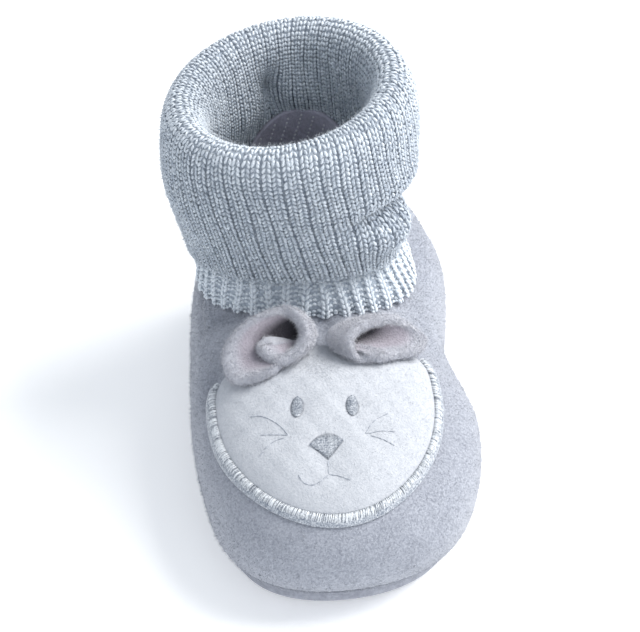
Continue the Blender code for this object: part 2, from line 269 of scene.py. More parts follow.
def turns(count):
    """Even turns once round, in radians. Round the shoe they go from the toe over the outer side."""
    return np.arange(count) * 2 * math.pi / count


def ramp(value, start, end):
    """0 up to the start, 1 from the end on, and even between them."""
    return np.clip((value - start) / (end - start), 0, 1)


print("a bell at half a width:", round(float(bell(0.5)), 3))

# %% Grids and pieces
def grid_faces(rows, columns, wrap_rows=False, wrap_columns=False):
    """Two triangles between each point of a grid and its next row and column."""
    row, column = np.meshgrid(
        np.arange(rows - (not wrap_rows)), np.arange(columns - (not wrap_columns)), indexing="ij"
    )
    below, beside = (row + 1) % rows, (column + 1) % columns
    a, b = row * columns + column, row * columns + beside
    c, d = below * columns + beside, below * columns + column
    return np.concatenate([stacked(a, b, c).reshape(-1, 3), stacked(a, c, d).reshape(-1, 3)])


def facing_out(points, faces):
    """The faces, all turned round if the closed shape that they make is inside out."""
    corner = points[faces]
    volume = np.einsum("ij,ij->i", corner[:, 0], np.cross(corner[:, 1], corner[:, 2])).sum()
    return faces[:, ::-1] if volume < 0 else faces


def new_piece(name, points, faces, finish, slot, node=None, **values):
    """A finished piece: points in millimetres, triangles, a finish, and named values at its points."""
    points = np.asarray(points, float).reshape(-1, 3)
    faces = facing_out(points, faces)
    mesh = bpy.data.meshes.new(name)
    mesh.vertices.add(len(points))
    mesh.vertices.foreach_set("co", (points * MM).astype(np.float32).ravel())
    mesh.loops.add(faces.size)
    mesh.loops.foreach_set("vertex_index", faces.astype(np.int32).ravel())
    mesh.polygons.add(len(faces))
    mesh.polygons.foreach_set("loop_start", np.arange(len(faces), dtype=np.int32) * 3)
    mesh.update(calc_edges=True)
    mesh.shade_smooth()
    for key, numbers in values.items():
        layer = mesh.attributes.new(key, "FLOAT", "POINT")
        layer.data.foreach_set("value", np.asarray(numbers, np.float32).ravel())
    mesh.materials.append(finish.material)
    piece = bpy.data.objects.new(name, mesh)
    bpy.context.scene.collection.objects.link(piece)
    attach(piece, "root")
    if node:
        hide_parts(node)
    print(f"{name}: {len(faces)} triangles")
    return piece


print("a sheet of 3 by 3 points:", len(grid_faces(3, 3)), "triangles")

# %% [markdown]
# ## The last: one function for the whole upper
# A shoe is built on a last, and here the last is a function: how far round the foot and how far up give a
# point. It is the same function that the solids were lofted from, with the same tables, because a patch,
# a seam or a hair has to lie on the velour wherever it is put.

# %% The upper's levels and swells
LEVEL_COLUMNS = (
    "toe_y", "toe_z", "heel_y", "heel_z", "side_z", "widest_y",
    "inner_half", "outer_half", "heel_taper", "squareness", "centre_x", "toe_x",
)
LEVELS = {
    "sole_seam": (-60.0, 4.3, 51.5, 4.3, 4.3, -16, 29.2, 28.6, 0.02, 0.035, 0.0, -3.2),
    "tuck":      (-63.4, 8.5, 55.0, 8.5, 8.5, -16, 32.2, 31.8, 0.02, 0.035, 0.0, -3.2),
    "widest":    (-64.4, 14.5, 56.5, 16.0, 16.0, -15, 33.2, 33.2, 0.02, 0.035, 0.0, -3.0),
    "toe_crown": (-61.8, 22.0, 56.5, 25.5, 23.6, -13, 32.6, 32.9, 0.01, 0.030, 0.0, -2.6),
    "cap":       (-53.6, 29.0, 55.4, 33.0, 28.4, -8, 30.8, 31.1, 0.00, 0.025, -0.2, -2.0),
    "vamp":      (-38.6, 33.6, 53.6, 38.5, 31.0, 0, 28.2, 28.7, 0.00, 0.025, -0.7, -1.4),
    "instep":    (-22.8, 36.6, 51.4, 42.0, 32.8, 8, 26.3, 26.4, 0.00, 0.025, -1.8, -0.8),
    "throat":    (-9.5, 38.4, 49.6, 44.0, 34.2, 13, 24.6, 24.6, 0.00, 0.020, -3.0, -0.4),
    "collar":    (-2.3, 40.2, 48.2, 45.2, 35.6, 15.5, 23.2, 23.2, 0.00, 0.010, -3.9, -0.4),
}
SWELL_COLUMNS = ("side", "y", "spread", "out", "rise", "rise_spread")
SIDE_SWELLS = {
    "outer_waist":    (1, -4, 17, -5.8, 0.38, 0.40),
    "outer_heel":     (1, 36, 16, 5.2, 0.38, 0.40),
    "outer_shoulder": (1, 41, 13, 5.0, 0.74, 0.18),
    "inner_waist":    (-1, 6, 18, -1.2, 0.38, 0.40),
}
TOE_SPRING = 2.6
SPRING_START_Y = -32.0
TOE_TIP_Y = -64.4
print("levels:", ", ".join(LEVELS))

# %% [markdown]
# Between the rows of the table the surface runs on smooth curves. Each level is an oval of its own, and
# the swells push its soft sides out or in. The normal of any such surface comes from two small steps.

# %% The last's surface
def named(table, columns):
    """Each row of a table as values by column name."""
    return [dict(zip(columns, row)) for row in table.values()]


def along_table(table, columns, shares):
    """Values by column name at fractional places down a table, on Catmull-Rom curves through its rows."""
    rows = np.array(list(table.values()), float)
    padded = np.vstack([2 * rows[0] - rows[1], rows, 2 * rows[-1] - rows[-2]])
    place = np.clip(np.asarray(shares, float), 0, 1) * (len(rows) - 1)
    first = np.minimum(place.astype(int), len(rows) - 2)
    t = (place - first)[..., None]
    a, b, c, d = (padded[first + i] for i in range(4))
    smooth = 2 * b + (c - a) * t + (2 * a - 5 * b + 4 * c - d) * t**2 + (3 * b - a - 3 * c + d) * t**3
    return dict(zip(columns, np.moveaxis(0.5 * smooth, -1, 0)))


def turn_away(turn, turn_deg, turn_width):
    """How far a turn lies from a place round the shoe, in widths."""
    return np.angle(np.exp(1j * (turn - math.radians(turn_deg)))) / math.radians(turn_width)


def toe_spring(y):
    """The sole's lift off the floor: nothing at the ball, growing as a square towards the toe."""
    return TOE_SPRING * np.clip((SPRING_START_Y - y) / (SPRING_START_Y - TOE_TIP_Y), 0, None) ** 2


def last_point(turn, rise):
    """The upper's outer face: an oval loop for each rise, with its own toe, heel, sides and height, drawn
    in or swollen where the soft sides are."""
    turn, rise = floats(turn, rise)
    level = along_table(LEVELS, LEVEL_COLUMNS, rise)
    c, s = np.cos(turn), np.sin(turn)
    square = level["squareness"]
    along = (c - square * np.cos(3 * turn)) / (1 - square)
    across = (s + square * np.sin(3 * turn)) / (1 - square)
    reach = np.where(c > 0, level["widest_y"] - level["toe_y"], level["heel_y"] - level["widest_y"])
    y = level["widest_y"] - along * reach
    back, front = np.clip(-along, 0, 1), np.clip(along, 0, 1)
    outer = (1 + s) / 2
    half = level["inner_half"] * (1 - outer) + level["outer_half"] * outer
    x = across * half * (1 - level["heel_taper"] * back**2)
    for swell in named(SIDE_SWELLS, SWELL_COLUMNS):
        far, high = (y - swell["y"]) / swell["spread"], (rise - swell["rise"]) / swell["rise_spread"]
        on_side = np.clip(swell["side"] * s, 0, 1) ** 2
        x = x + swell["side"] * swell["out"] * on_side * bell(far, high)
    x = x + level["centre_x"] + (level["toe_x"] - level["centre_x"]) * front**2
    z = level["side_z"] + (level["toe_z"] - level["side_z"]) * front**2
    z = z + (level["heel_z"] - level["side_z"]) * back**2 + toe_spring(y) * (1 - rise) ** 2
    return stacked(x, y, z)


def straight_out(surface, first, second, step=1e-3):
    """The unit normal of a surface of two parameters: its two slopes' cross product."""
    by_first = surface(first + step, second) - surface(first - step, second)
    by_second = surface(first, second + step) - surface(first, second - step)
    return unit(np.cross(by_first, by_second))


print("collar at the toe side:", np.round(last_point(0.0, 1.0), 1), "mm")

# %% [markdown]
# ## Soft creases in the velour
# Velour over a soft lining doesn't crease sharply. Where the cuff and the patch pull on it, it draws into
# broad, shallow troughs with a swollen side. Each main one is placed from one point of the last to
# another, and its depth fades to both ends. Along the seams the cloth puckers in small even gathers.

# %% Creases and gathers
CREASE_COLUMNS = ("turn_a", "rise_a", "turn_b", "rise_b", "width", "depth")
CREASES = {
    "between_ears":      (-2, 0.98, -4, 0.80, 3.2, 1.9),
    "outer_collar_tuck": (50, 0.99, 92, 0.84, 3.8, 0.9),
    "outer_waist_fold":  (60, 0.88, 76, 0.50, 5.0, 1.7),
    "outer_heel_fold":   (112, 0.92, 128, 0.60, 5.0, 1.0),
    "inner_collar_tuck": (-42, 0.98, -80, 0.80, 3.8, 2.1),
    "inner_waist_fold":  (-56, 0.84, -78, 0.46, 4.8, 1.7),
    "inner_heel_fold":   (-118, 0.90, -132, 0.58, 5.0, 0.9),
    "heel_dip":          (172, 0.96, 188, 0.72, 6.0, 0.9),
    "toe_dimple":        (24, 0.34, 40, 0.46, 6.0, 0.6),
    "outer_sole_crease": (70, 0.14, 104, 0.22, 4.0, 0.9),
    "inner_sole_crease": (-64, 0.16, -98, 0.24, 4.0, 0.8),
}
SEAM_GATHERS = ((0.02, 84, 0.22, 0.07), (0.99, 40, 0.28, 0.06))
print("creases:", ", ".join(CREASES))

# %% [markdown]
# A crease is a bell across its line, less a wider one, so that the cloth beside it swells. The gathers
# are waves whose size fades away from the seam.

# %% Creased velour
def last_out(turn, rise):
    """The direction straight out of the last, kept a hair's breadth off its two ends."""
    return straight_out(last_point, turn, np.clip(rise, 0.002, 0.998))


def crease_depth(points):
    """How far the creases draw the cloth in: for each, a bell across its line and a sine along it, less a
    wider bell that swells its sides."""
    depth = np.zeros(points.shape[:-1])
    for crease in named(CREASES, CREASE_COLUMNS):
        share = np.linspace(0, 1, 9)
        turn = np.radians(crease["turn_a"] + (crease["turn_b"] - crease["turn_a"]) * share)
        line = last_point(turn, crease["rise_a"] + (crease["rise_b"] - crease["rise_a"]) * share)
        start, run = line[:-1], np.diff(line, axis=0)
        offset = points[..., None, :] - start
        along = np.clip((offset * run).sum(-1) / (run * run).sum(-1), 0, 1)
        distance = np.linalg.norm(offset - run * along[..., None], axis=-1)
        nearest = distance.argmin(axis=-1)[..., None]
        away = np.take_along_axis(distance, nearest, -1)[..., 0] / crease["width"]
        progress = (nearest + np.take_along_axis(along, nearest, -1))[..., 0] / len(run)
        fade = np.sqrt(np.sin(math.pi * np.clip(progress, 0.03, 0.97)))
        depth = depth + crease["depth"] * fade * (bell(away) - 0.45 * bell(away / 2.2))
    return depth


def velour_point(turn, rise):
    """The last's face, drawn in by the creases and by even gathers that fade away from the two seams."""
    turn, rise = floats(turn, rise)
    point = last_point(turn, rise)
    inward = crease_depth(point)
    for seam, count, depth, spread in SEAM_GATHERS:
        wave = 0.5 + 0.5 * np.cos(count * turn + 1.3 * np.sin(5 * turn))
        inward = inward + depth * wave * bell((rise - seam) / spread)
    return point - last_out(turn, rise) * inward[..., None]


print("velour at the heel:", np.round(velour_point(math.pi, 0.5), 1), "mm")

# %% [markdown]
# ## The velour upper
# The upper is one piece of velour with a wall. Its outside and its lining are made as one closed skin that
# goes up the outside, over the collar and down inside, and a value kept at each point tells the finish
# where the lining starts. The nap is real: tens of thousands of short hairs, too fine to see singly,
# which soften the outline as velour does.

# %% Velour skin
VELOUR_TURNS = 240
VELOUR_RISES = 90
LINING_RISES = 14
VELOUR_WALL = 2.2

velour_finish = Finish("velour", Roughness=0.95, Sheen_Weight=0.3, Sheen_Roughness=0.45)
nap_grain = velour_finish.noise(0.5, 3.0, 0.7)
velour_colour = velour_finish.two_tone(
    velour_finish.noise(14.0) * 0.12 + nap_grain * 0.88, 0.36, 0.64, (142, 146, 158), (182, 186, 196)
)
lining_colour = velour_finish.two_tone(
    velour_finish.noise(0.8, 3.0), 0.35, 0.65, (140, 141, 152), (168, 169, 179)
)
velour_finish.colour(velour_finish.mix(velour_finish.value("lining"), velour_colour, lining_colour))
velour_finish.bump(nap_grain, 0.22)

round_shoe = turns(VELOUR_TURNS)[None, :]
outside = velour_point(round_shoe, np.linspace(0, 1, VELOUR_RISES)[:, None])
lining_rise = np.linspace(1, 0, LINING_RISES)[:, None]
inside = last_point(round_shoe, lining_rise) - last_out(round_shoe, lining_rise) * VELOUR_WALL
skin = np.concatenate([outside, inside])
in_lining = np.repeat([0.0, 1.0], [VELOUR_RISES, LINING_RISES])[:, None] * np.ones(VELOUR_TURNS)
new_piece(
    "velour_upper", skin, grid_faces(len(skin), VELOUR_TURNS, wrap_rows=True, wrap_columns=True),
    velour_finish, "velour", "upper", lining=in_lining,
)

# %% [markdown]
# The pile of real velour stands up from its ground and catches the light at the outline. Hairs are strewn
# evenly over turn and rise, in two pieces, each rooted on the creased skin and leaning its own way.

# %% Velour nap
HAIRS_A_HALF = 18500
VELOUR_HAIR = (1.05, 0.10)


def many_times(faces, count, points_each):
    """One small shape's faces, numbered again for each of many such shapes."""
    return (faces[None] + np.arange(count)[:, None, None] * points_each).reshape(-1, 3)


def nap(root, out, length, width, lean=0.9):
    """Fine hairs, each a slim closed spike of four faces that leans off at random from its root."""
    count = len(root)
    away = unit(out + random.normal(size=(count, 3)) * lean)
    away = away + out * np.clip(0.15 - np.einsum("ij,ij->i", away, out), 0, None)[:, None]
    side = unit(np.cross(away, random.normal(size=(count, 3))))
    other = np.cross(away, side)
    long = length * random.uniform(0.45, 1.0, count)[:, None]
    turn = turns(3)[:, None]
    ring = side[:, None] * np.cos(turn) + other[:, None] * np.sin(turn)
    foot = (root - out * 0.1)[:, None] + width / 2 * ring
    points = np.concatenate([foot, (root + away * long)[:, None]], axis=1)
    spike = np.array([(0, 1, 3), (1, 2, 3), (2, 0, 3), (2, 1, 0)])
    return points, many_times(spike, count, 4)


hair_finish = cloth("velour_nap", (196, 200, 208), (160, 164, 175), 1.2, 0.8, 0.05, sheen=0.2)
for half, middle in (("toe", 0.0), ("heel", math.pi)):
    hair_turn = middle + random.uniform(-math.pi / 2, math.pi / 2, HAIRS_A_HALF)
    hair_rise = random.uniform(0.03, 0.995, HAIRS_A_HALF)
    hairs = nap(velour_point(hair_turn, hair_rise), last_out(hair_turn, hair_rise), *VELOUR_HAIR)
    new_piece(f"velour_nap_{half}", *hairs, hair_finish, "velour")

# %% [markdown]
# ## The knit: a sheet with its own two parameters
# The cuff is a rib-knit tube sewn to the collar, rolled outwards at the top and hung down again. Its
# middle is a function of how far round and how far along the knit, the solid's own. Knit is laid in even
# courses, so the way along is measured first and then asked for in millimetres.

# %% The knit sheet
KNIT_COLUMNS = ("share", "out")
KNIT_FOLD = {
    "collar_seam": (0.00, -1.1),
    "band":        (0.10, -1.5),
    "tube_low":    (0.26, -2.4),
    "tube_middle": (0.48, -3.6),
    "tube_high":   (0.70, -4.2),
    "roll_inner":  (0.87, -4.0),
    "roll_rise":   (0.965, -2.4),
    "crest":       (1.00, 0.0),
    "roll_fall":   (0.965, 2.0),
    "roll_outer":  (0.87, 3.2),
    "fold_full":   (0.68, 3.3),
    "fold_middle": (0.50, 2.6),
    "fold_low":    (0.32, 1.6),
    "fold_edge":   (0.19, 0.9),
}
KNIT_START = 0.008
KNIT_WALL = 2.2
TURNED_DOWN = 0.6
CREST_CENTRE = (-6.2, 22.8, 83.8)
CREST_RADIUS = 24.4
CREST_TILT = math.radians(10)
DENT_COLUMNS = ("turn_deg", "share", "turn_width", "share_width", "out")
FOLD_DENTS = {
    "outer_pinch": (84, 0.50, 34, 0.13, -1.9),
    "outer_lobe":  (84, 0.76, 34, 0.14, 0.9),
    "inner_swell": (275, 0.62, 40, 0.24, 1.4),
    "sharp_pinch": (56, 0.53, 33, 0.050, -4.4),
    "upper_lobe":  (62, 0.62, 24, 0.07, 1.8),
    "lower_lobe":  (46, 0.40, 20, 0.08, 3.2),
    "outer_tuck":  (92, 0.32, 22, 0.12, -2.8),
    "front_sag":   (20, 0.40, 30, 0.12, 0.4),
}
HEM_COLUMNS = ("turn_deg", "turn_width", "lift")
HEM_LIFTS = {
    "outer": (84, 22, 0.30),
    "inner": (300, 30, 0.03),
}
TUBE_FOLDS = {
    "back_crease":  (190, 0.66, 7, 0.12, 3.4),
    "left_of_it":   (210, 0.60, 13, 0.16, -2.4),
    "right_of_it":  (168, 0.62, 15, 0.14, -2.4),
    "side_crease":  (112, 0.50, 9, 0.26, 1.2),
    "inner_crease": (252, 0.52, 10, 0.24, 1.2),
}
print("rows of the fold:", ", ".join(KNIT_FOLD))

# %% [markdown]
# The fold's table says how far up and how far out the cloth has got. Dents and swells are added where the
# cuff is squeezed, the hem is drawn up on the outer side, and the tube inside has creases of its own.

# %% The knit's middle
def crest_point(turn):
    """The top of the knit's roll: a circle that leans to the inner side."""
    turn = np.asarray(turn, float)
    x, y = np.sin(turn), -np.cos(turn)
    ring = stacked(x * math.cos(CREST_TILT), y, x * math.sin(CREST_TILT))
    return np.array(CREST_CENTRE) + CREST_RADIUS * ring


def pushed_out(table, turn, share):
    """How far the soft dents and swells of a table push the knit out at a place: a bell for each."""
    pushed = 0.0
    for dent in named(table, DENT_COLUMNS):
        away = turn_away(turn, dent["turn_deg"], dent["turn_width"])
        pushed = pushed + dent["out"] * bell(away, (share - dent["share"]) / dent["share_width"])
    return pushed


def knit_middle(turn, along, creased=1.0):
    """The middle of the knit: part of the way from seam to crest and some way out, by the fold's table,
    with its dents and its drawn-up hem, and with the tube's creases unless they are smoothed away."""
    turn, along = floats(turn, along)
    knit = along_table(KNIT_FOLD, KNIT_COLUMNS, along)
    share, out = knit["share"], knit["out"]
    turned_down = np.where(along > TURNED_DOWN, 1.0, 0.0)
    for hem in named(HEM_LIFTS, HEM_COLUMNS):
        away = turn_away(turn, hem["turn_deg"], hem["turn_width"])
        share = share + turned_down * hem["lift"] * bell(away) * (1 - share)
    out = out + turned_down * pushed_out(FOLD_DENTS, turn, share)
    out = out + creased * (1 - turned_down) * pushed_out(TUBE_FOLDS, turn, share)
    seam, crest = last_point(turn, 1.0), crest_point(turn)
    outward = stacked(np.sin(turn), -np.cos(turn), 0 * turn)
    return seam + (crest - seam) * share[..., None] + outward * out[..., None]


sampled = np.linspace(KNIT_START, 1, 700)
steps_along = np.linalg.norm(np.diff(knit_middle(turns(24)[None, :], sampled[:, None]), axis=0), axis=-1)
length_at = np.concatenate([[0], np.cumsum(steps_along.mean(axis=1))])
KNIT_LENGTH = length_at[-1]
CREST_LENGTH = np.interp(list(KNIT_FOLD).index("crest") / (len(KNIT_FOLD) - 1), sampled, length_at)


def along_at(length):
    """The knit's own parameter at a length from its seam, in millimetres."""
    return np.interp(length, length_at, sampled)


print(f"knit {KNIT_LENGTH:.1f} mm long, crest at {CREST_LENGTH:.1f} mm")

# %% [markdown]
# ## Ribs
# The knit is a two-and-one rib: two columns of V stitches stand proud and one sinks between them. The same
# cloth shows its other face on the short band under the fold: there the sunken column is the one that
# stands proud, alone, between purl bumps. The ribs are pulled a little askew on the fold and fan out below
# the pinch on the outer side. The band's lower edge flares over the collar and droops.

# %% Ribs, relief and both faces
RIBS = 40
V_COLUMNS = (0.20, 0.66)
PAIR_MIDDLE = 0.43
SUNK_COLUMN = 0.93
RIB_TWIST = 0.14
RIB_DEPTH = 0.60
BAND_RIB = 0.6
PINCH = (66, 19)
PINCH_FAN = 0.34
PINCH_SQUEEZE = 0.08
WAVERS = ((0.012, 3, 0.16), (0.006, 11, -0.3))
SEAM_PUCKER = (0.020, 9, 0.35, 10)
HEM_ROUND = 1.6
BAND_FLARE = (3.6, 5.5)
FLARE_TURN = math.radians(45)
FLARE_DROOP = 0.6
CREST_SPREAD = 7


def rib_turn(phase, length):
    """The turn round the shoe of a place across the ribs: even, then sheared along the fold, with a slow
    waver, puckered at the seam and fanned below the pinch."""
    turn = phase * 2 * math.pi / RIBS
    down = ramp(length, CREST_LENGTH, KNIT_LENGTH)
    pinch = bell(turn_away(turn, *PINCH))
    waver = sum(size * np.sin(waves * turn + slant * length) for size, waves, slant in WAVERS)
    fan = pinch * (PINCH_FAN * ramp(down, 0.5, 1) - PINCH_SQUEEZE * np.sin(math.pi * down))
    size, waves, slant, spread = SEAM_PUCKER
    pucker = size * np.sin(waves * turn + slant * length) * bell(length / spread)
    return turn + RIB_TWIST * (down - 0.35) * ramp(down, 0, 0.25) + waver + fan + pucker


def near_column(phase, column, width):
    """A bell of 1 across the ribs where a column runs."""
    return bell(((phase - column + 0.5) % 1 - 0.5) / width)


def knit_face(phase, length, lift, side=1):
    """A point off the knit's middle. Side 1 is the face with two V columns, which looks into the tube and
    out of the fold, and side -1 the other. The sunk column goes in, and the edges are rounded off."""
    phase, length = floats(phase, length)
    turn, along = rib_turn(phase, length), along_at(length)
    to_hem = ramp(length, KNIT_LENGTH, KNIT_LENGTH - HEM_ROUND)
    off = KNIT_WALL / 2 * np.sqrt(np.clip(1 - (1 - to_hem) ** 2, 0, 1)) + lift
    droop = 0 * turn
    if side > 0:
        off = off - to_hem * RIB_DEPTH * near_column(phase, SUNK_COLUMN, 0.07)
    else:
        size, spread = BAND_FLARE
        flare = size * bell(length / spread) * (0.88 + 0.12 * near_column(phase, SUNK_COLUMN, 0.25))
        flare = flare * (0.55 + 0.45 * np.cos(turn - FLARE_TURN))
        off = off + to_hem * (BAND_RIB * near_column(phase, SUNK_COLUMN, 0.16) + flare)
        droop = FLARE_DROOP * flare
    normal = -straight_out(knit_middle, turn, along)
    point = knit_middle(turn, along) + normal * (side * off)[..., None]
    return point - np.array([0, 0, 1.0]) * droop[..., None]


def knit_out(phase, length, side=1):
    """The direction straight out of that face."""
    return -side * straight_out(knit_middle, rib_turn(phase, length), along_at(length))


def near_crest(length):
    """A bell of 1 over the crest of the roll."""
    return bell((length - CREST_LENGTH) / CREST_SPREAD)


print("ribs fan out by", round(math.degrees(PINCH_FAN)), "degrees below the pinch")

# %% [markdown]
# Under the stitches lies a plain ground, which closes the cloth and is darkened with painted shade in the
# grooves between the columns, where real knit is in its own shade.

# %% Knit ground
PHASES_A_RIB = 7
FACE_STEPS = 76
BACK_STEPS = 36
rib_phases = np.arange(RIBS * PHASES_A_RIB)[None, :] / PHASES_A_RIB
face_length = np.linspace(0, KNIT_LENGTH, FACE_STEPS)[:, None]
back_length = np.linspace(KNIT_LENGTH, 0, BACK_STEPS)[:, None]
knit_skin = np.concatenate([
    knit_face(rib_phases, face_length, -0.16 + 0.16 * near_crest(face_length)),
    knit_face(rib_phases, back_length, 0.04, side=-1),
])
# Painted shade in the grooves: most in the sunk column, less between the two V columns, faded over the crest.
groove_shade_mask = np.maximum(
    near_column(rib_phases, SUNK_COLUMN, 0.09), 0.45 * near_column(rib_phases, PAIR_MIDDLE, 0.07)
)
painted_groove_shade = np.concatenate([
    groove_shade_mask * (1 - 0.7 * near_crest(face_length)), np.zeros((BACK_STEPS, rib_phases.size))
])

knit_finish = Finish("knit_ground", Roughness=1.0, Sheen_Weight=0.1)
ground_colour = knit_finish.two_tone(
    knit_finish.noise(0.5, 3.0, 0.6), 0.35, 0.65, (154, 164, 178), (196, 205, 215)
)
# The sunk value mixes the ground towards a dark grey: painted shade in the grooves.
knit_finish.colour(knit_finish.mix(knit_finish.value("sunk"), ground_colour, paint(88, 98, 114)))
knit_finish.bump(knit_finish.noise(0.4, 3.0), 0.25)
new_piece(
    "knit_ground", knit_skin, grid_faces(len(knit_skin), rib_phases.size, wrap_rows=True, wrap_columns=True),
    knit_finish, "rib_knit", "cuff", sunk=painted_groove_shade,
)

# %% [markdown]
# ## Real stitches
# A bump texture of knit goes flat on the crest, where it is seen edge-on. So each stitch is made: a V is
# two short plump arms of yarn that rise from the stitch below and spread, and every arm is a closed
# thread of a few sides. One array holds them all. A shade kept for each arm gives the heather of the yarn,
# and carries painted light on the crest and painted shade under the fold.

# %% Closed threads
THREAD_SIDES = 4
ARM_STEPS = 5


def tube_faces(rows, columns):
    """Faces over a stack of closed rings, with a fan over each end. The fans' middles are numbered last."""
    here = np.arange(columns)
    beside, last, tip = (here + 1) % columns, (rows - 1) * columns, np.full(columns, rows * columns)
    top = stacked(tip, beside, here)
    bottom = stacked(tip + 1, last + here, last + beside)
    return np.concatenate([grid_faces(rows, columns, wrap_columns=True), top, bottom])


def threads(paths, up, half_width, half_height):
    """Closed threads, one along each path of points. A thread is a point at both ends and a ring of a few
    sides between them: the ring stands across the path, as wide along the cloth and as high off it as
    given, and swells from the ends as the square root of a sine."""
    count, steps = paths.shape[:2]
    ahead = np.gradient(paths, axis=1)
    across = unit(np.cross(ahead, up))
    high = unit(np.cross(across, ahead))
    swell = np.sqrt(np.sin(math.pi * np.linspace(0, 1, steps)[1:-1]))[None, :, None, None]
    around = turns(THREAD_SIDES)[:, None]
    wide, tall = (
        np.broadcast_to(np.asarray(half, float), (count,))[:, None, None, None]
        for half in (half_width, half_height)
    )
    ring = across[:, 1:-1, None] * wide * np.cos(around) + high[:, 1:-1, None] * tall * np.sin(around)
    rings = paths[:, 1:-1, None] + swell * ring
    points = np.concatenate([rings.reshape(count, -1, 3), paths[:, :1], paths[:, -1:]], axis=1)
    return points, many_times(tube_faces(steps - 2, THREAD_SIDES), count, points.shape[1])


def joined(*shapes):
    """Several lots of points and faces as one."""
    points, faces, count = [], [], 0
    for some_points, some_faces in shapes:
        points.append(some_points.reshape(-1, 3))
        faces.append(some_faces + count)
        count += len(points[-1])
    return np.concatenate(points), np.concatenate(faces)


print("a thread of", ARM_STEPS, "points:", len(tube_faces(ARM_STEPS - 2, THREAD_SIDES)), "triangles")

# %% [markdown]
# An arm's path is a quarter of a wave across the ribs and a little more than a course along them. Every
# stitch differs a little in size, place and shade, because yarn is uneven, and the purl stitches of the
# band are the same threads laid crosswise.

# %% Stitch arms
COURSE = 1.0
ARM_HEIGHT = 0.31
PURL_SIZE = (0.46, 0.34)
SHADE_SPREAD = 0.26
TUBE_STITCHES_START = 8.0
# Painted light on the crest of the roll, and painted shade under the turned-down fold.
CREST_PAINTED_LIGHT = 0.5
UNDER_FOLD_PAINTED_SHADE = 0.8
UNEVEN_SIZE = 0.07
UNEVEN_PLACE = 0.1


def painted_light_by_length(length, side):
    """How much paler than the rest the yarn is painted: painted light on the crest, and painted shade under
    the turned-down fold.
    """
    return CREST_PAINTED_LIGHT * near_crest(length) if side > 0 else -UNDER_FOLD_PAINTED_SHADE * ramp(length, 5.5, 9)


def stitch_places(first, last, columns, hands=(0,)):
    """The course, rib, column and hand of each stitch between two lengths of the knit, one to a row."""
    places = np.meshgrid(np.arange(first, last, COURSE), np.arange(RIBS), columns, hands, indexing="ij")
    return [part.ravel()[:, None] for part in places]


def yarn_threads(phase, length, lift, side, half_width, half_height):
    """Threads of yarn along paths on a face of the knit."""
    length = np.clip(length, 0.05, KNIT_LENGTH - 0.05)
    paths = knit_face(phase, length, lift, side)
    return threads(paths, knit_out(phase, length, side), half_width, half_height)


def yarn_shades(course, side, mean=0.5):
    """A shade for each stitch, for the heather of the yarn, with the painted light and painted shade along
    the knit added.
    """
    shade = np.clip(mean + SHADE_SPREAD * random.normal(size=len(course)), 0, 1)
    return shade + painted_light_by_length(course[:, 0], side)


def v_arms(first, last, columns, side, reach=0.155, plump=0.37, steps=ARM_STEPS):
    """The arms of V stitches: each leaves its column's middle and ends beside it, a little over a course
    further on."""
    course, rib, column, hand = stitch_places(first, last, columns, (-1, 1))
    size = 1 + UNEVEN_SIZE * random.normal(size=course.shape)
    share = np.linspace(0, 1, steps)[None, :]
    phase = rib + column + hand * (0.015 + reach * np.sin(share * 1.7) / np.sin(1.7)) * size
    length = course + (share * 1.25 - 0.12) * COURSE * size
    length = length + UNEVEN_PLACE * random.normal(size=course.shape)
    lift = 0.32 * np.sin(math.pi * np.clip(share * 0.92 + 0.04, 0, 1)) - 0.08
    shape = yarn_threads(phase, length, lift, side, plump * size[:, 0], ARM_HEIGHT)
    return shape, yarn_shades(course, side)


def purl_bumps(first, last, columns, side, half):
    """The bumps of purl stitches: short arms that lie across the column, bowed up at the middle."""
    course, rib, column, _ = stitch_places(first, last, columns)
    share = np.linspace(-1, 1, ARM_STEPS)[None, :]
    length = course + 0.45 * COURSE * (1 - share**2) + 0.22 * random.normal(size=course.shape)
    lift = 0.16 * (1 - share**2) - 0.05
    shape = yarn_threads(rib + column + half * share, length, lift, side, *PURL_SIZE)
    return shape, yarn_shades(course, side, 0.45)


print("courses on the fold:", len(np.arange(CREST_LENGTH + 2, KNIT_LENGTH - 0.4, COURSE)))

# %% [markdown]
# The yarn is a heather: pale and mid grey-blue fibres spun together. Each stitch has a shade of its own,
# and a fine fleck runs over it.

# %% Stitches of the fold and the tube
yarn_finish = Finish("heather_yarn", Roughness=0.95, Sheen_Weight=0.3, Sheen_Roughness=0.4)
yarn_fleck = yarn_finish.noise(0.35, 2.0, 0.6)
yarn_tone = yarn_finish.value("shade") * 0.5 + yarn_fleck * 0.8
yarn_finish.colour(yarn_finish.two_tone(yarn_tone, 0.30, 1.0, (168, 178, 191), (228, 235, 242)))
yarn_finish.bump(yarn_fleck, 0.12)


def knit_piece(name, *lots, extra_painted_light=0.0):
    """Stitches as one piece, with each arm's own shade, raised by any extra painted light, at all its points.
    """
    shade = np.concatenate([np.repeat(tone + extra_painted_light, shape[0].shape[1]) for shape, tone in lots])
    new_piece(name, *joined(*(shape for shape, tone in lots)), yarn_finish, "rib_knit", shade=shade)


knit_piece("fold_stitches", v_arms(CREST_LENGTH + 2, KNIT_LENGTH - 0.4, V_COLUMNS, 1))
knit_piece("tube_stitches", v_arms(TUBE_STITCHES_START, CREST_LENGTH + 2, V_COLUMNS, 1, steps=4))

# %% [markdown]
# The short band under the fold shows the knit's other face: one raised column of V stitches to a rib, with
# the small cross-wise bumps of purl stitches beside it. It catches the light, so its yarn is made paler with
# painted light, and painted shade darkens it where it goes under the fold.

# %% Band stitches
BAND_LENGTH = 15.0
PURL_COLUMNS = (0.18, 0.42, 0.66)
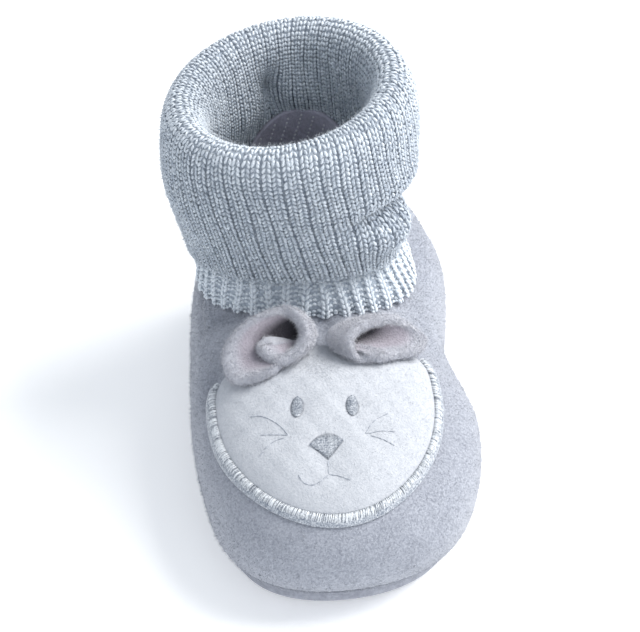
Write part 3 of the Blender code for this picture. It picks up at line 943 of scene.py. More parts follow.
# The band's yarn is lifted by extra painted light.
knit_piece(
    "band_stitches", v_arms(-0.2, BAND_LENGTH, (SUNK_COLUMN,), -1, reach=0.13, plump=0.46),
    purl_bumps(0.0, BAND_LENGTH, PURL_COLUMNS, -1, half=0.12), extra_painted_light=0.7,
)

# %% [markdown]
# Brushed yarn has a halo of loose fibre. Long thin hairs strewn over the whole knit, more of them towards
# the hem, blur its stitches a little.

# %% Yarn fuzz
KNIT_HAIRS = 33000
YARN_HAIR = (1.5, 0.08)
fuzz_phase = random.uniform(0, RIBS, KNIT_HAIRS)
fuzz_length = KNIT_LENGTH * np.sqrt(random.uniform(0.12, 1.0, KNIT_HAIRS))
fuzz_root = knit_face(fuzz_phase, fuzz_length, 0.35)
fuzz = nap(fuzz_root, knit_out(fuzz_phase, fuzz_length), *YARN_HAIR, lean=1.1)
fuzz_finish = cloth("yarn_fuzz", (226, 232, 238), (186, 195, 206), 1.5, 0.8, 0.05)
new_piece("yarn_fuzz", *fuzz, fuzz_finish, "rib_knit")

# %% [markdown]
# ## The lining at the heel
# Through the opening the lining shows: a soft mauve-grey cloth that stands up inside the heel, above the
# collar seam, with its upper edge in an arch. It is quilted with slanting rows of small white stitches,
# and so is the insole. The lining is one more sheet over the knit's inner face, thinned out at its edges.

# %% Heel lining
ARCH_TURN = math.radians(160)
ARCH_HALF = math.radians(56)
ARCH_TOP = 22.2
LINING_LIFT = 0.9
LINING_WALL = 0.9


def sheet_solid(middle, normal, half):
    """A sheet with a wall: each point of its middle moved both ways along its normal by half the wall,
    which thins to almost nothing at the open edges and closes them."""
    rows, columns = middle.shape[:2]
    points = np.stack([middle + normal * half, middle - normal * half]).reshape(-1, 3)
    count = rows * columns
    face, index = grid_faces(rows, columns), np.arange(count).reshape(rows, columns)
    walls = []
    for edge in (index[0], index[-1][::-1], index[::-1, 0], index[:, -1]):
        start, end = edge[:-1], edge[1:]
        walls.append(stacked(end, start, start + count))
        walls.append(stacked(end, start + count, end + count))
    return points, np.concatenate([face, face[:, ::-1] + count] + walls)


def smooth_tube(turn, along):
    """The knit's middle without the tube's creases."""
    return knit_middle(turn, along, creased=0.0)


def inner_point(turn, length, lift):
    """A point off the smooth inner side of the knit tube."""
    along = along_at(length)
    return smooth_tube(turn, along) - straight_out(smooth_tube, turn, along) * (KNIT_WALL / 2 + lift)


lining_finish = cloth("lining", (190, 187, 203), (162, 160, 175), 3.0, 0.7, 0.25, sheen=0.15)
arch_place = np.linspace(-0.995, 0.995, 64)
lining_turn = ARCH_TURN + ARCH_HALF * arch_place[None, :]
lining_length = np.linspace(0.3, 1, 24)[:, None] * ARCH_TOP * np.sqrt(1 - arch_place**2)[None, :]
lining_middle = inner_point(lining_turn, lining_length, LINING_LIFT)
lining_out = -straight_out(knit_middle, lining_turn, along_at(lining_length))
new_piece(
    "heel_lining", *sheet_solid(lining_middle, lining_out, LINING_WALL / 2), lining_finish, "insole_fabric"
)

# %% [markdown]
# ## Places on the vamp
# The face, its border, the ears and every stitch of them are laid out in plan, as a pattern cutter would
# draw them, and then carried straight out onto the vamp. To find the place on the last that lies over a
# point of the plan, Newton's method walks there in a few steps, for all the points at once.

# %% The patch's sizes and its places
GAP = 0.3
FACE_CENTRE = (-3.5, -27.0)
FACE_HALF_WIDTH = 24.0
FACE_TO_TOE = 30.2
FACE_TO_COLLAR = 12.8
FACE_TOP_POWER = 4.0
FACE_EDGE = 1.0
FACE_PUFF = 2.4
FACE_EDGE_ROUND = 0.22
FACE_EDGE_DROP = 0.84


def vamp_place(x, y, rounds=10, step=1e-4):
    """The turn and rise at which the last lies over a plan point: Newton's steps, held short."""
    x, y = floats(x, y)
    turn, rise = np.arctan2(x, 12 - y), np.full(x.shape, 0.7)
    for _ in range(rounds):
        here = last_point(turn, rise)[..., :2]
        by_turn = (last_point(turn + step, rise)[..., :2] - here) / step
        by_rise = (last_point(turn, rise + step)[..., :2] - here) / step
        miss = stacked(x, y) - here
        area = by_turn[..., 0] * by_rise[..., 1] - by_turn[..., 1] * by_rise[..., 0]
        turn_step = (miss[..., 0] * by_rise[..., 1] - miss[..., 1] * by_rise[..., 0]) / area
        rise_step = (by_turn[..., 0] * miss[..., 1] - by_turn[..., 1] * miss[..., 0]) / area
        turn = turn + np.clip(turn_step, -0.3, 0.3)
        rise = np.clip(rise + np.clip(rise_step, -0.1, 0.1), 0.2, 0.998)
    return turn, rise


def vamp_out(plan):
    """The direction straight out of the vamp over points of the plan."""
    return straight_out(last_point, *vamp_place(plan[..., 0], plan[..., 1]))


def vamp_point(plan, height):
    """Points at a height straight out from the vamp, over points of the plan."""
    place = vamp_place(plan[..., 0], plan[..., 1])
    return last_point(*place) + straight_out(last_point, *place) * np.asarray(height, float)[..., None]


print("out from the vamp at the nose:", np.round(vamp_out(np.array([-5.0, -42.8])), 2))

# %% [markdown]
# The patch is half an ellipse towards the toe and squarer towards the collar. How far out a point lies on
# it also says how high it stands.

# %% The patch's outline and height
def face_share(x, y):
    """How far out on the patch a plan point lies: 0 at its centre, 1 on its edge. Half an ellipse towards
    the toe, and a squarer half towards the collar."""
    across, along = np.abs(x - FACE_CENTRE[0]) / FACE_HALF_WIDTH, y - FACE_CENTRE[1]
    power = FACE_TOP_POWER
    to_collar = (across**power + np.abs(along / FACE_TO_COLLAR) ** power) ** (1 / power)
    return np.where(along < 0, np.hypot(across, along / FACE_TO_TOE), to_collar)


def face_outline(angle, outset=0.0):
    """The patch's edge in plan, moved outwards: from the outer side over the toe to the inner side."""
    def edge(angle):
        way = stacked(np.cos(angle), -np.sin(angle))
        return FACE_CENTRE + way / face_share(*np.moveaxis(FACE_CENTRE + way, -1, 0))[..., None]
    ahead = unit(edge(angle + 1e-3) - edge(angle - 1e-3))
    outward = stacked(-ahead[..., 1], ahead[..., 0])
    return edge(angle) + outward * np.asarray(outset, float)[..., None]


def face_top(share):
    """How far the patch stands off the vamp: puffed in the middle, and rounded down to its edge as part of
    an ellipse."""
    puff = FACE_EDGE + (FACE_PUFF - FACE_EDGE) * np.clip(1 - share**2, 0, 1)
    down = ramp(share, 1 - FACE_EDGE_ROUND, 1)
    return GAP + puff * np.sqrt(1 - FACE_EDGE_DROP * down**2)


print(f"patch {2 * FACE_HALF_WIDTH:.0f} mm wide and {FACE_TO_TOE + FACE_TO_COLLAR:.0f} mm long")

# %% [markdown]
# ## The face: plush, pressed in by its stitches
# The face is a patch of white plush with soft wadding behind it. Thread pulled through it presses it in,
# so the eyes, the nose and the mouth lie in shallow dimples and the cheeks swell between them. The patch
# is a stack of rings of its own outline, from the middle of its top over the edge to its back.

# %% Plush patch
DIMPLE_COLUMNS = ("x", "y", "radius", "depth")
DIMPLES = {
    "inner_eye":      (-10.2, -32.0, 3.2, 0.55),
    "outer_eye":      (1.6, -33.2, 3.2, 0.55),
    "nose":           (-5.0, -42.8, 4.2, 0.60),
    "lip_line":       (-5.5, -48.0, 2.2, 0.50),
    "inner_mouth":    (-8.8, -50.8, 2.4, 0.35),
    "outer_mouth":    (-3.0, -50.4, 2.2, 0.30),
    "inner_whiskers": (-13.9, -38.2, 2.6, 0.40),
    "outer_whiskers": (4.5, -40.1, 2.6, 0.40),
    "brow":           (-4.0, -18.6, 6.0, 0.50),
}
CHEEKS = {
    "inner_cheek": (-12.0, -46.0, 6.5, -0.45),
    "outer_cheek": (3.0, -47.5, 6.5, -0.45),
    "forehead":    (-4.2, -27.5, 7.0, -0.35),
}
WADDING = 0.10


def ring_solid(rings):
    """A closed shape over a stack of closed rings, with the two fans' middles added to its points."""
    points = np.concatenate([rings.reshape(-1, 3), rings[:1].mean(axis=1), rings[-1:].mean(axis=1)])
    return points, tube_faces(*rings.shape[:2])


def plush_height(x, y):
    """The plush's height off the vamp: the patch's own, less a bell for each dimple and cheek, with a
    slow unevenness of the wadding."""
    share = face_share(x, y)
    height = face_top(share)
    inside = np.clip((1 - share) * 5, 0, 1)
    for place in named({**DIMPLES, **CHEEKS}, DIMPLE_COLUMNS):
        away = np.hypot(x - place["x"], y - place["y"]) / place["radius"]
        height = height - inside * place["depth"] * bell(away)
    return height + inside * WADDING * np.sin(0.9 * x + 1.7) * np.sin(0.8 * y + 0.4 * x)


def on_plush(plan, lift=0.0):
    """Points on the plush over points of the plan."""
    return vamp_point(plan, plush_height(plan[..., 0], plan[..., 1]) + lift)


edge_plan = face_outline(turns(220))
top_shares = np.concatenate([np.linspace(0.015, 0.9, 48), np.linspace(0.915, 1.0, 12)])
back_shares = np.array([1.0, 0.9, 0.75, 0.55, 0.35, 0.1])
top_plan, back_plan = (
    FACE_CENTRE + shares[:, None, None] * (edge_plan - FACE_CENTRE) for shares in (top_shares, back_shares)
)
patch_rings = np.concatenate([on_plush(top_plan), vamp_point(back_plan, np.full(back_plan.shape[:2], GAP))])
plush_finish = cloth("plush", (205, 208, 214), (193, 197, 204), 1.0, 0.5, 0.20, sheen=0.2)
plush = new_piece("face_plush", *ring_solid(patch_rings), plush_finish, "plush", "face")

# %% [markdown]
# The plush has a short dense pile, strewn evenly over the patch.

# %% Plush nap
PLUSH_HAIRS = 12000
PLUSH_HAIR = (0.75, 0.07)
hair_share = np.sqrt(random.uniform(0, 0.99, PLUSH_HAIRS))[:, None]
hair_edge = face_outline(random.uniform(0, 2 * math.pi, PLUSH_HAIRS))
hair_plan = FACE_CENTRE + hair_share * (hair_edge - FACE_CENTRE)
plush_hair_finish = cloth("plush_nap", (214, 217, 223), (200, 204, 211), 1.0, 0.8, 0.05, sheen=0.2)
hairs = nap(on_plush(hair_plan), vamp_out(hair_plan), *PLUSH_HAIR)
new_piece("face_nap", *hairs, plush_hair_finish, "plush")

# %% [markdown]
# ## Satin border
# A band of satin stitch holds the patch: bright thread laid side by side across its edge, each turn bowed
# over a padded core. The band is one thread after another along the outline, a quarter of a millimetre
# apart, leaning a little and never quite even. The thread is shinier than any cloth on the shoe.

# %% Border threads
BORDER_WIDTH = 2.0
BORDER_HEIGHT = 1.0
BORDER_ENDS = (-22, 202)
THREAD_PITCH = 0.25
THREAD_HALF = 0.15
THREAD_SLANT = 0.012
CORE_PITCH = 0.8

thread_finish = Finish("satin_thread", Roughness=0.36, Sheen_Weight=0.2, Specular_IOR_Level=0.6)
thread_fleck = thread_finish.noise(0.36, 3.0, 0.7)
thread_tone = thread_finish.value("shade") * 0.45 + thread_fleck * 0.9
thread_finish.colour(thread_finish.two_tone(thread_tone, 0.38, 0.74, (104, 114, 131), (240, 244, 248)))
thread_finish.bump(thread_fleck, 0.05)


def length_along(line):
    """How far along a line of points each one lies."""
    return np.concatenate([[0], np.cumsum(np.linalg.norm(np.diff(line, axis=0), axis=1))])


def even_angles(start_deg, end_deg, pitch):
    """Angles round the patch at an even pitch along its edge."""
    fine = np.radians(np.linspace(start_deg, end_deg, 2000))
    length = length_along(on_plush(face_outline(fine)))
    return np.interp(np.arange(0, length[-1], pitch), length, fine)


def thread_shades(shape, spread=0.25):
    """A shade for every point of each thread, the same all along it."""
    tone = np.clip(0.5 + spread * random.normal(size=len(shape[0])), 0, 1)
    return np.repeat(tone, shape[0].shape[1])


print("threads in the border:", len(even_angles(*BORDER_ENDS, THREAD_PITCH)))

# %% [markdown]
# The band leaves its top open, where the ears are sewn in. A rounded core fills it under the threads and
# closes the gaps between them.

# %% Satin border
angle = even_angles(*BORDER_ENDS, THREAD_PITCH)
share = np.linspace(0, 1, 8)[None, :]
angle = angle[:, None] + THREAD_SLANT * (share - 0.5) + 0.002 * random.normal(size=(len(angle), 1))
reach = GAP - 0.5 + (BORDER_WIDTH - 0.1 + 0.16 * random.normal(size=angle.shape[:1])[:, None]) * share
border_plan = face_outline(angle, reach)
border_height = 0.4 + (BORDER_HEIGHT - 0.35) * np.sin(math.pi * share) ** 0.7 * np.ones_like(angle)
border_shape = threads(
    vamp_point(border_plan, border_height), vamp_out(border_plan), THREAD_HALF, THREAD_HALF
)
core_section = np.linspace(0, math.pi, 9)
core_angle = even_angles(*BORDER_ENDS, CORE_PITCH)[:, None] * np.ones(9)
core_plan = face_outline(core_angle, GAP + BORDER_WIDTH / 2 * (1 - np.cos(core_section)))
core_height = GAP + (BORDER_HEIGHT - 0.45) * np.sin(core_section) * np.ones_like(core_angle)
core_shape = ring_solid(vamp_point(core_plan, core_height))
# The core gets a low shade, darker than the threads: painted shade in the gaps between them.
border_shades = np.concatenate([thread_shades(border_shape), np.full(len(core_shape[0]), 0.1)])
new_piece(
    "satin_border", *joined(border_shape, core_shape), thread_finish, "satin_stitch", "face_border",
    shade=border_shades,
)

# %% [markdown]
# ## Embroidered features
# The eyes and the nose are filled with satin stitch too: threads laid edge to edge across an oval, and
# down a rounded triangle. The mouth and the whiskers are single lines of small back stitches, end to end,
# drawn down into the plush so that only a thin grey line shows.

# %% Embroidery stitches
EYES = {"inner_eye": ((-10.2, -32.0), 9), "outer_eye": ((1.6, -33.2), 6)}
EYE_HALF = (1.6, 2.6)
NOSE_CORNERS = ((-8.7, -42.2), (-1.3, -41.9))
NOSE_TIP = (-5.2, -46.4)
NOSE_CROWN = 2.6
LINES = {
    "lip_line":       ((-5.2, -46.2), (-5.4, -47.8), (-5.5, -49.4)),
    "inner_mouth":    ((-5.5, -49.4), (-7.3, -50.6), (-9.3, -51.2), (-11.0, -50.4), (-11.9, -48.6)),
    "outer_mouth":    ((-5.5, -49.4), (-3.2, -50.1), (-1.1, -51.3)),
    "inner_whisker_high": ((-12.9, -38.6), (-14.2, -36.0), (-16.0, -33.9), (-17.9, -32.3), (-20.3, -31.3)),
    "inner_whisker_mid":  ((-12.9, -38.6), (-15.8, -37.7), (-18.6, -36.9)),
    "inner_whisker_low":  ((-13.6, -39.0), (-16.4, -39.6), (-19.4, -42.0)),
    "outer_whisker_high": ((3.5, -40.4), (4.8, -38.4), (6.5, -36.7), (9.2, -35.3)),
    "outer_whisker_mid":  ((3.5, -40.4), (6.9, -39.9), (10.1, -40.0)),
    "outer_whisker_low":  ((4.5, -40.9), (6.7, -41.9), (9.4, -43.5)),
}
SATIN_RISE = 0.34
BACK_STITCH = 1.5
LINE_HALF = 0.10
FEATURE_SHADE = (0.02, 0.22)


def satin(starts, ends):
    """Threads over the plush from one edge point to the other, bowed up by a sine."""
    share = np.linspace(0, 1, 7)[None, :, None]
    plan = starts[:, None] + (ends - starts)[:, None] * share
    paths = on_plush(plan, 0.02 + SATIN_RISE * np.sin(math.pi * share[..., 0]) ** 0.6)
    return threads(paths, vamp_out(plan), THREAD_HALF, THREAD_HALF)


def back_stitches(corners):
    """Short threads end to end along a smooth line through the corners, each dipped in at both ends."""
    line = along_table(dict(enumerate(corners)), ("x", "y"), np.linspace(0, 1, 200))
    length = length_along(stacked(line["x"], line["y"]))
    count = max(2, round(length[-1] / BACK_STITCH))
    at = (np.arange(count)[:, None] + np.linspace(-0.12, 1.12, 6)[None, :]) / count * length[-1]
    plan = stacked(np.interp(at, length, line["x"]), np.interp(at, length, line["y"]))
    lift = 0.02 + 0.10 * np.sin(math.pi * np.linspace(0, 1, 6))[None, :] * np.ones((count, 1))
    return threads(on_plush(plan, lift), vamp_out(plan), LINE_HALF, LINE_HALF)


print("embroidered lines:", ", ".join(LINES))

# %% [markdown]
# An eye is laid across its oval, and the nose from its crown down to the two sides that meet at its tip.

# %% Eyes and nose
features = []
for centre, lean_deg in EYES.values():
    down = np.linspace(-0.96, 0.96, 27)[:, None]
    sine, cosine = math.sin(math.radians(lean_deg)), math.cos(math.radians(lean_deg))
    middle = np.array(centre) + np.array([sine, cosine]) * EYE_HALF[1] * down
    chord = np.array([cosine, -sine]) * EYE_HALF[0] * np.sqrt(1 - down**2)
    features.append(satin(middle - chord, middle + chord))
over = np.linspace(0.02, 0.98, 35)[:, None]
nose_left, nose_right = np.array(NOSE_CORNERS)
crown = np.array([0, NOSE_CROWN]) * np.sin(math.pi * over) ** 0.7
nose_top = nose_left + (nose_right - nose_left) * over + crown
nose_side = np.where(over < 0.5, nose_left, nose_right)
nose_low = nose_side + (np.array(NOSE_TIP) - nose_side) * (1 - np.abs(2 * over - 1)) ** 0.85
features.append(satin(nose_top, nose_low))
darkest, spread = FEATURE_SHADE
feature_shades = np.concatenate([darkest + spread * thread_shades(shape, 0.3) for shape in features])
new_piece("eyes_and_nose", *joined(*features), thread_finish, "satin_stitch", shade=feature_shades)

# %% [markdown]
# The lines are sewn with a thinner, duller thread.

# %% Mouth and whiskers
line_finish = cloth("fine_thread", (200, 205, 213), (156, 163, 175), 1.5, 0.5, 0.03, roughness=0.7)
lines_shape = joined(*(back_stitches(line) for line in LINES.values()))
new_piece("mouth_and_whiskers", *lines_shape, line_finish, "satin_stitch")

# %% [markdown]
# ## Felt ears
# Each ear is a flap of thick felt rolled into a cornet: narrow where it is sewn in above the face, and
# open at its rim, with its hem lying on the plush. It is a sheet whose middle fans from the root to a rim
# through the named places of its table, and which is lifted off whatever it would sink into. Felt has no
# hard edge, so the wall swells towards the rim, most at the lip that curls inwards, and is rounded off
# there under a thick fuzz. Its inside is mauve, and painted shade darkens it into the cornet.

# %% The ears' tables
EAR_WALL = 1.6
EAR_ROOT_RADIUS = 1.5
EAR_ROOT_HIGH = 2.8
EAR_CURL = math.radians(160)
EAR_CLEARANCE = 0.54
EAR_COLUMNS = ("out", "ahead", "high")
EARS = {
    "ear_inner": {
        "curl":      (8.2, 2.6, 6.8),
        "inner_lip": (11.6, 3.8, 6.4),
        "front_lip": (7.8, 8.0, 5.2),
        "lip_turn":  (2.9, 6.4, 6.4),
        "brow":      (1.2, 2.0, 8.2),
        "crown":     (4.8, -3.2, 9.4),
        "back":      (12.8, -2.2, 9.8),
        "tail":      (18.8, 2.0, 8.4),
        "hem":       (18.4, 8.0, 4.6),
        "brim":      (13.2, 10.2, 2.6),
        "brim_end":  (7.6, 9.0, 2.2),
    },
    "ear_outer": {
        "curl":      (12.8, 6.4, 1.6),
        "inner_lip": (10.4, 7.4, 2.4),
        "front_lip": (7.2, 8.0, 3.2),
        "lip_turn":  (4.6, 6.6, 4.8),
        "brow":      (4.8, 3.6, 6.6),
        "crown":     (9.8, 0.4, 7.2),
        "back":      (16.4, -1.0, 7.2),
        "tail":      (21.2, 1.0, 5.8),
        "hem":       (19.2, 4.6, 3.2),
        "brim":      (14.0, 6.6, 2.4),
        "brim_end":  (9.4, 8.4, 2.2),
    },
}
EAR_SIDES = {"ear_inner": -1, "ear_outer": 1}
EAR_ROLLS = {"ear_inner": 0.5, "ear_outer": 0.1}
EAR_ROOTS = {"ear_inner": (-6.3, -13.9), "ear_outer": (-0.5, -14.5)}
EAR_SWELL = 0.55
REST_SOFTNESS = 0.8
print("named places on a rim:", ", ".join(EARS["ear_inner"]))

# %% [markdown]
# Each ear opens from its root to its rim as a bell does. Whatever would sink into the shoe is lifted until
# it rests there, by a maximum with a soft corner, so no hard line shows where the felt begins to lie.

# %% The ears' sheets
def rest_on_vamp(point):
    """Raises what would sink into the vamp or the patch until it lies on them: a soft maximum."""
    x, y, z = np.moveaxis(point, -1, 0)
    turn, rise = vamp_place(x, y)
    under, slope = last_point(turn, rise)[..., 2], straight_out(last_point, turn, rise)[..., 2]
    share = face_share(x, y)
    on_patch = ramp(share, 1.25, 1.05)
    patch_top = face_top(np.minimum(share, 1 - FACE_EDGE_ROUND)) * on_patch
    ground = under + (EAR_CLEARANCE + EAR_WALL / 2 + patch_top) / np.clip(slope, 0.5, 1)
    raised = 0.5 * (z + ground + np.sqrt((z - ground) ** 2 + REST_SOFTNESS**2))
    return stacked(x, y, raised)


def ear_point(name, along, across):
    """The middle of an ear's sheet: the rim's middle is carried straight out from the root, and the rim
    opens round it faster at first, as a bell does."""
    along, across = floats(along, across)
    side, root = EAR_SIDES[name], EAR_ROOTS[name]
    rim_place = along_table(EARS[name], EAR_COLUMNS, across)
    rim = stacked(*(rim_place[column] for column in EAR_COLUMNS))
    middle = np.mean(list(EARS[name].values()), axis=0)
    around = EAR_CURL * (1 - 2 * across)
    ring = EAR_ROOT_RADIUS * stacked(0 * around, np.sin(around), np.cos(around))
    opened = along[..., None] ** 0.6
    place = middle * along[..., None] + (rim - middle) * opened + ring * (1 - opened)
    x, y = root[0] + side * place[..., 0], root[1] - place[..., 1]
    high = place[..., 2] + EAR_ROOT_HIGH * (1 - along)
    under = last_point(*vamp_place(x, y))[..., 2]
    return rest_on_vamp(stacked(x, y, under + high))


def half_wall(name, along, across):
    """Half of the felt's thickness: it grows towards the rim, and most at the lip that is rolled inwards."""
    rolled = bell((across - 0.07) / 0.10) * ramp(along, 0.25, 0.75)
    to_rim = ramp(along, 0.2, 0.9)
    return EAR_WALL / 2 * (1 + EAR_SWELL * to_rim**2 * (3 - 2 * to_rim) + EAR_ROLLS[name] * rolled)


def rounded_ends(start, end, count, cap, both=True):
    """Places from start to end, crowded at the rounded ends, and the share of the wall left at each: a
    quarter circle over each cap."""
    swing = np.linspace(0, math.pi / 2, 7)[1:]
    places = [np.linspace(start + both * cap, end - cap, count), end - cap + cap * np.sin(swing)]
    walls = [np.ones(count), np.cos(swing)]
    if both:
        places.insert(0, (start + cap - cap * np.sin(swing))[::-1])
        walls.insert(0, np.cos(swing)[::-1])
    return np.concatenate(places), np.concatenate(walls)


def ear_out(name, along, across):
    """The direction straight out of an ear's sheet."""
    def surface(along, across):
        return ear_point(name, np.clip(along, 0.004, None), across)
    return straight_out(surface, along, across)


print("half of the wall at the rim:", round(float(half_wall("ear_inner", 1.0, 0.5)), 2), "mm")

# %% [markdown]
# Felt is fibres pressed together: matt, flecked and soft at its edge. Most of its hairs stand on the
# outside and near the rim.

# %% Felt and fuzz
felt_finish = Finish("ear_felt", Roughness=1.0, Sheen_Weight=0.35, Sheen_Roughness=0.5)
felt_fleck = felt_finish.noise(0.5, 4.0, 0.7)
felt_tone = felt_fleck * 0.6 + felt_finish.noise(4.0) * 0.4
felt_colour = felt_finish.two_tone(felt_tone, 0.36, 0.64, (178, 180, 191), (210, 212, 220))
felt_inside = felt_finish.two_tone(felt_tone, 0.36, 0.64, (160, 154, 165), (188, 181, 192))
half_way_in = felt_finish.span(felt_finish.value("inside"), 0.0, 0.3)
# Painted shade: the inside goes nearly black deep in the cornet.
felt_painted_shade = felt_finish.span(felt_finish.value("inside"), 0.42, 1.0)
felt_faces = felt_finish.mix(half_way_in, felt_colour, felt_inside)
felt_finish.colour(felt_finish.mix(felt_painted_shade, felt_faces, paint(46, 43, 52)))
felt_finish.bump(felt_fleck, 0.55)
ear_hair_finish = cloth("ear_nap", (222, 223, 229), (190, 191, 201), 1.2, 0.8, 0.05, sheen=0.2)

EAR_HAIRS = 9500
EAR_HAIR = (1.15, 0.11)
RIM_CAP = 0.09
LIP_CAP = 0.03
along, along_wall = (part[:, None] for part in rounded_ends(0.012, 1.0, 28, RIM_CAP, both=False))
across, across_wall = (part[None, :] for part in rounded_ends(0.0, 1.0, 66, LIP_CAP))
for name in EARS:
    middle, out = ear_point(name, along, across), ear_out(name, along, across)
    half = np.maximum(half_wall(name, along, across) * along_wall * across_wall, 0.02)[..., None]
    upward = np.sign((out * (middle - middle.mean(axis=(0, 1)))).sum())
    # How deep into the cornet a point lies: the mauve of the inside and its painted shade follow it.
    depth = ramp(along, 0.86, 0.34) * np.clip(across / 0.25, 0.35, 1)
    inside = np.concatenate([depth * (upward < 0), depth * (upward > 0)])
    new_piece(name + "_felt", *sheet_solid(middle, out, half), felt_finish, "ear_felt", name, inside=inside)
    hair_along = np.clip(1.0 - 0.8 * random.uniform(0, 1, EAR_HAIRS) ** 2.2, 0.05, 1.0)
    hair_across = random.uniform(0.03, 0.99, EAR_HAIRS)
    lit_inside = ((hair_along > 0.8) | (hair_across < 0.12)) & (random.uniform(0, 1, EAR_HAIRS) < 0.5)
    hair_out = ear_out(name, hair_along, hair_across) * (np.where(lit_inside, -1.0, 1.0) * upward)[:, None]
    hair_cap = np.sqrt(1 - ramp(hair_along, 1 - RIM_CAP, 1) ** 2)
    hair_lift = hair_out * (half_wall(name, hair_along, hair_across) * hair_cap)[:, None]
    hairs = nap(ear_point(name, hair_along, hair_across) + hair_lift, hair_out, *EAR_HAIR)
    new_piece(name + "_nap", *hairs, ear_hair_finish, "ear_felt")

# %% [markdown]
# ## Sole and insole
# The sole is a layer of sturdier fabric sewn to the upper's lower edge and turned in under it, and the
# insole lies inside on it, quilted with rows of small white stitches that show through the opening. Both
# are stacks of rings that follow the sole seam, drawn in at their rounded edges.

# %% Two layers under the foot
SOLE_THICK = 4.0
SOLE_ROUND = 3.0
SOLE_INSET = 0.2
INSOLE_THICK = 1.8
INSOLE_ROUND = 0.5
INSOLE_INSET = 2.9
SLAB_TURNS = 180
SLAB_BEVEL = 0.4


def layer(inset, bottom, thickness, rounding):
    """A layer's rings: across its underside, round its lower edge, up its side and across its top."""
    seam = last_point(turns(SLAB_TURNS), 0.0)[:, :2]
    ahead = np.roll(seam, -1, axis=0) - np.roll(seam, 1, axis=0)
    outward = unit(stacked(ahead[:, 1], -ahead[:, 0]))
    top = bottom + thickness
    profile = [(share, rounding, bottom) for share in np.linspace(0.05, 0.98, 11)]
    for swing in np.linspace(0, math.pi / 2, 8):
        profile.append((1, rounding * (1 - math.sin(swing)), bottom + 0.7 * rounding * (1 - math.cos(swing))))
    profile += [(1, 0, top - SLAB_BEVEL), (1, SLAB_BEVEL * 0.3, top - SLAB_BEVEL * 0.3), (1, SLAB_BEVEL, top)]
    profile += [(share, SLAB_BEVEL, top) for share in np.linspace(0.98, 0.05, 11)]
    rings = []
    for share, drawn_in, height in profile:
        plan = (seam - outward * (inset + drawn_in)) * share
        rings.append(np.column_stack([plan, height + toe_spring(plan[:, 1])]))
    return ring_solid(np.array(rings))


print("sole", SOLE_THICK, "mm thick, insole", INSOLE_THICK, "mm")

# %% [markdown]
# The sole's fabric is a shade darker than the velour, and the insole is the lining's mauve.

# %% Sole and insole
sole_finish = cloth("sole_fabric", (172, 175, 185), (144, 147, 158), 1.5, 0.8, 0.3, sheen=0.2)
new_piece("sole_cloth", *layer(SOLE_INSET, 0.0, SOLE_THICK, SOLE_ROUND), sole_finish, "sole_fabric", "sole")
insole_finish = cloth("insole_fabric", (188, 186, 198), (158, 157, 169), 5.0, 0.6, 0.25, sheen=0.2)
insole_bottom = SOLE_THICK + GAP
insole_shape = layer(INSOLE_INSET, insole_bottom, INSOLE_THICK, INSOLE_ROUND)
new_piece("insole_cloth", *insole_shape, insole_finish, "insole_fabric", "insole")

# %% [markdown]
# The white dashes that quilt the lining run in slanting rows. Rows of short threads are laid over the
# whole insole and then over the arch at the heel, and those that would pass the edge are left out.

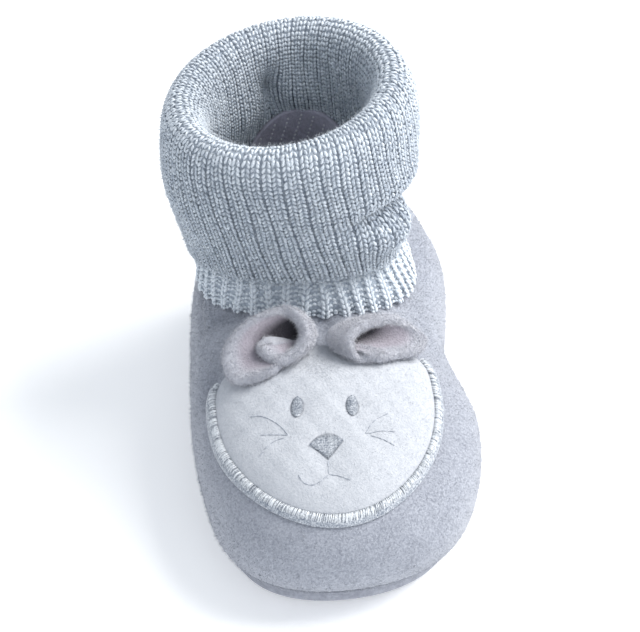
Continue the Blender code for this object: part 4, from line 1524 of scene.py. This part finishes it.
# %% Quilting stitches
ROW_LEAN = math.radians(17)
ROW_SPACING = 3.3
DASH_PITCH = 1.9
DASH_LENGTH = 1.15
DASH_SIZE = (0.24, 0.18)
DASH_SHARES = np.linspace(-0.5, 0.5, 4)
CLEAR_OF_EDGE = 2.5
row_way = np.array([math.sin(ROW_LEAN), math.cos(ROW_LEAN)])
across_way = np.array([math.cos(ROW_LEAN), -math.sin(ROW_LEAN)])
across_rows, down_rows = np.meshgrid(np.arange(-30, 31) * ROW_SPACING, np.arange(-40, 41) * DASH_PITCH)
dash_centre = across_rows.reshape(-1, 1) * across_way + down_rows.reshape(-1, 1) * row_way
seam_plan = last_point(turns(360), 0.0)[:, :2]
seam_angle = np.arctan2(seam_plan[:, 1], seam_plan[:, 0])
order = np.argsort(seam_angle)
dash_angle = np.arctan2(dash_centre[:, 1], dash_centre[:, 0])
dash_reach = np.interp(dash_angle, seam_angle[order], np.hypot(*seam_plan[order].T), period=2 * math.pi)
dash_centre = dash_centre[np.hypot(*dash_centre.T) < dash_reach - INSOLE_INSET - CLEAR_OF_EDGE]
dash_plan = dash_centre[:, None] + row_way * DASH_LENGTH * DASH_SHARES[:, None]
dash_high = insole_bottom + INSOLE_THICK + 0.12 + toe_spring(dash_plan[..., 1])
dash_paths = np.concatenate([dash_plan, dash_high[..., None]], axis=-1)
dash_finish = cloth("quilting_thread", (236, 236, 240), (212, 212, 220), 4.0, 0.6, 0.03, roughness=0.7)
new_piece("quilting", *threads(dash_paths, np.array([0, 0, 1.0]), *DASH_SIZE), dash_finish, "insole_fabric")

# %% [markdown]
# The same rows go on up the lining, leaning a little as they rise, and end short of the arch.

# %% Quilting at the heel
HEEL_ROWS = np.linspace(-0.9, 0.9, 12)
HEEL_ROW_SLANT = 0.014
HEEL_DASHES = 0.8
CLEAR_OF_ARCH = 1.5
row_turn, row_length = np.meshgrid(
    ARCH_TURN + ARCH_HALF * HEEL_ROWS, np.arange(5.0, ARCH_TOP, DASH_PITCH * HEEL_DASHES)
)
row_turn = row_turn - HEEL_ROW_SLANT * (row_length - ARCH_TOP / 2)
arch_height = ARCH_TOP * np.sqrt(np.clip(1 - ((row_turn - ARCH_TURN) / ARCH_HALF) ** 2, 0, 1))
inside_arch = row_length < arch_height - CLEAR_OF_ARCH
row_turn, row_length = row_turn[inside_arch][:, None], row_length[inside_arch][:, None]
dash_step = DASH_SHARES[None, :] * DASH_LENGTH * HEEL_DASHES
heel_paths = inner_point(row_turn - HEEL_ROW_SLANT * dash_step, row_length + dash_step, LINING_LIFT + 0.5)
heel_up = -straight_out(knit_middle, row_turn, along_at(row_length)) * np.ones((1, 4, 1))
new_piece("heel_quilting", *threads(heel_paths, heel_up, *DASH_SIZE), dash_finish, "insole_fabric")
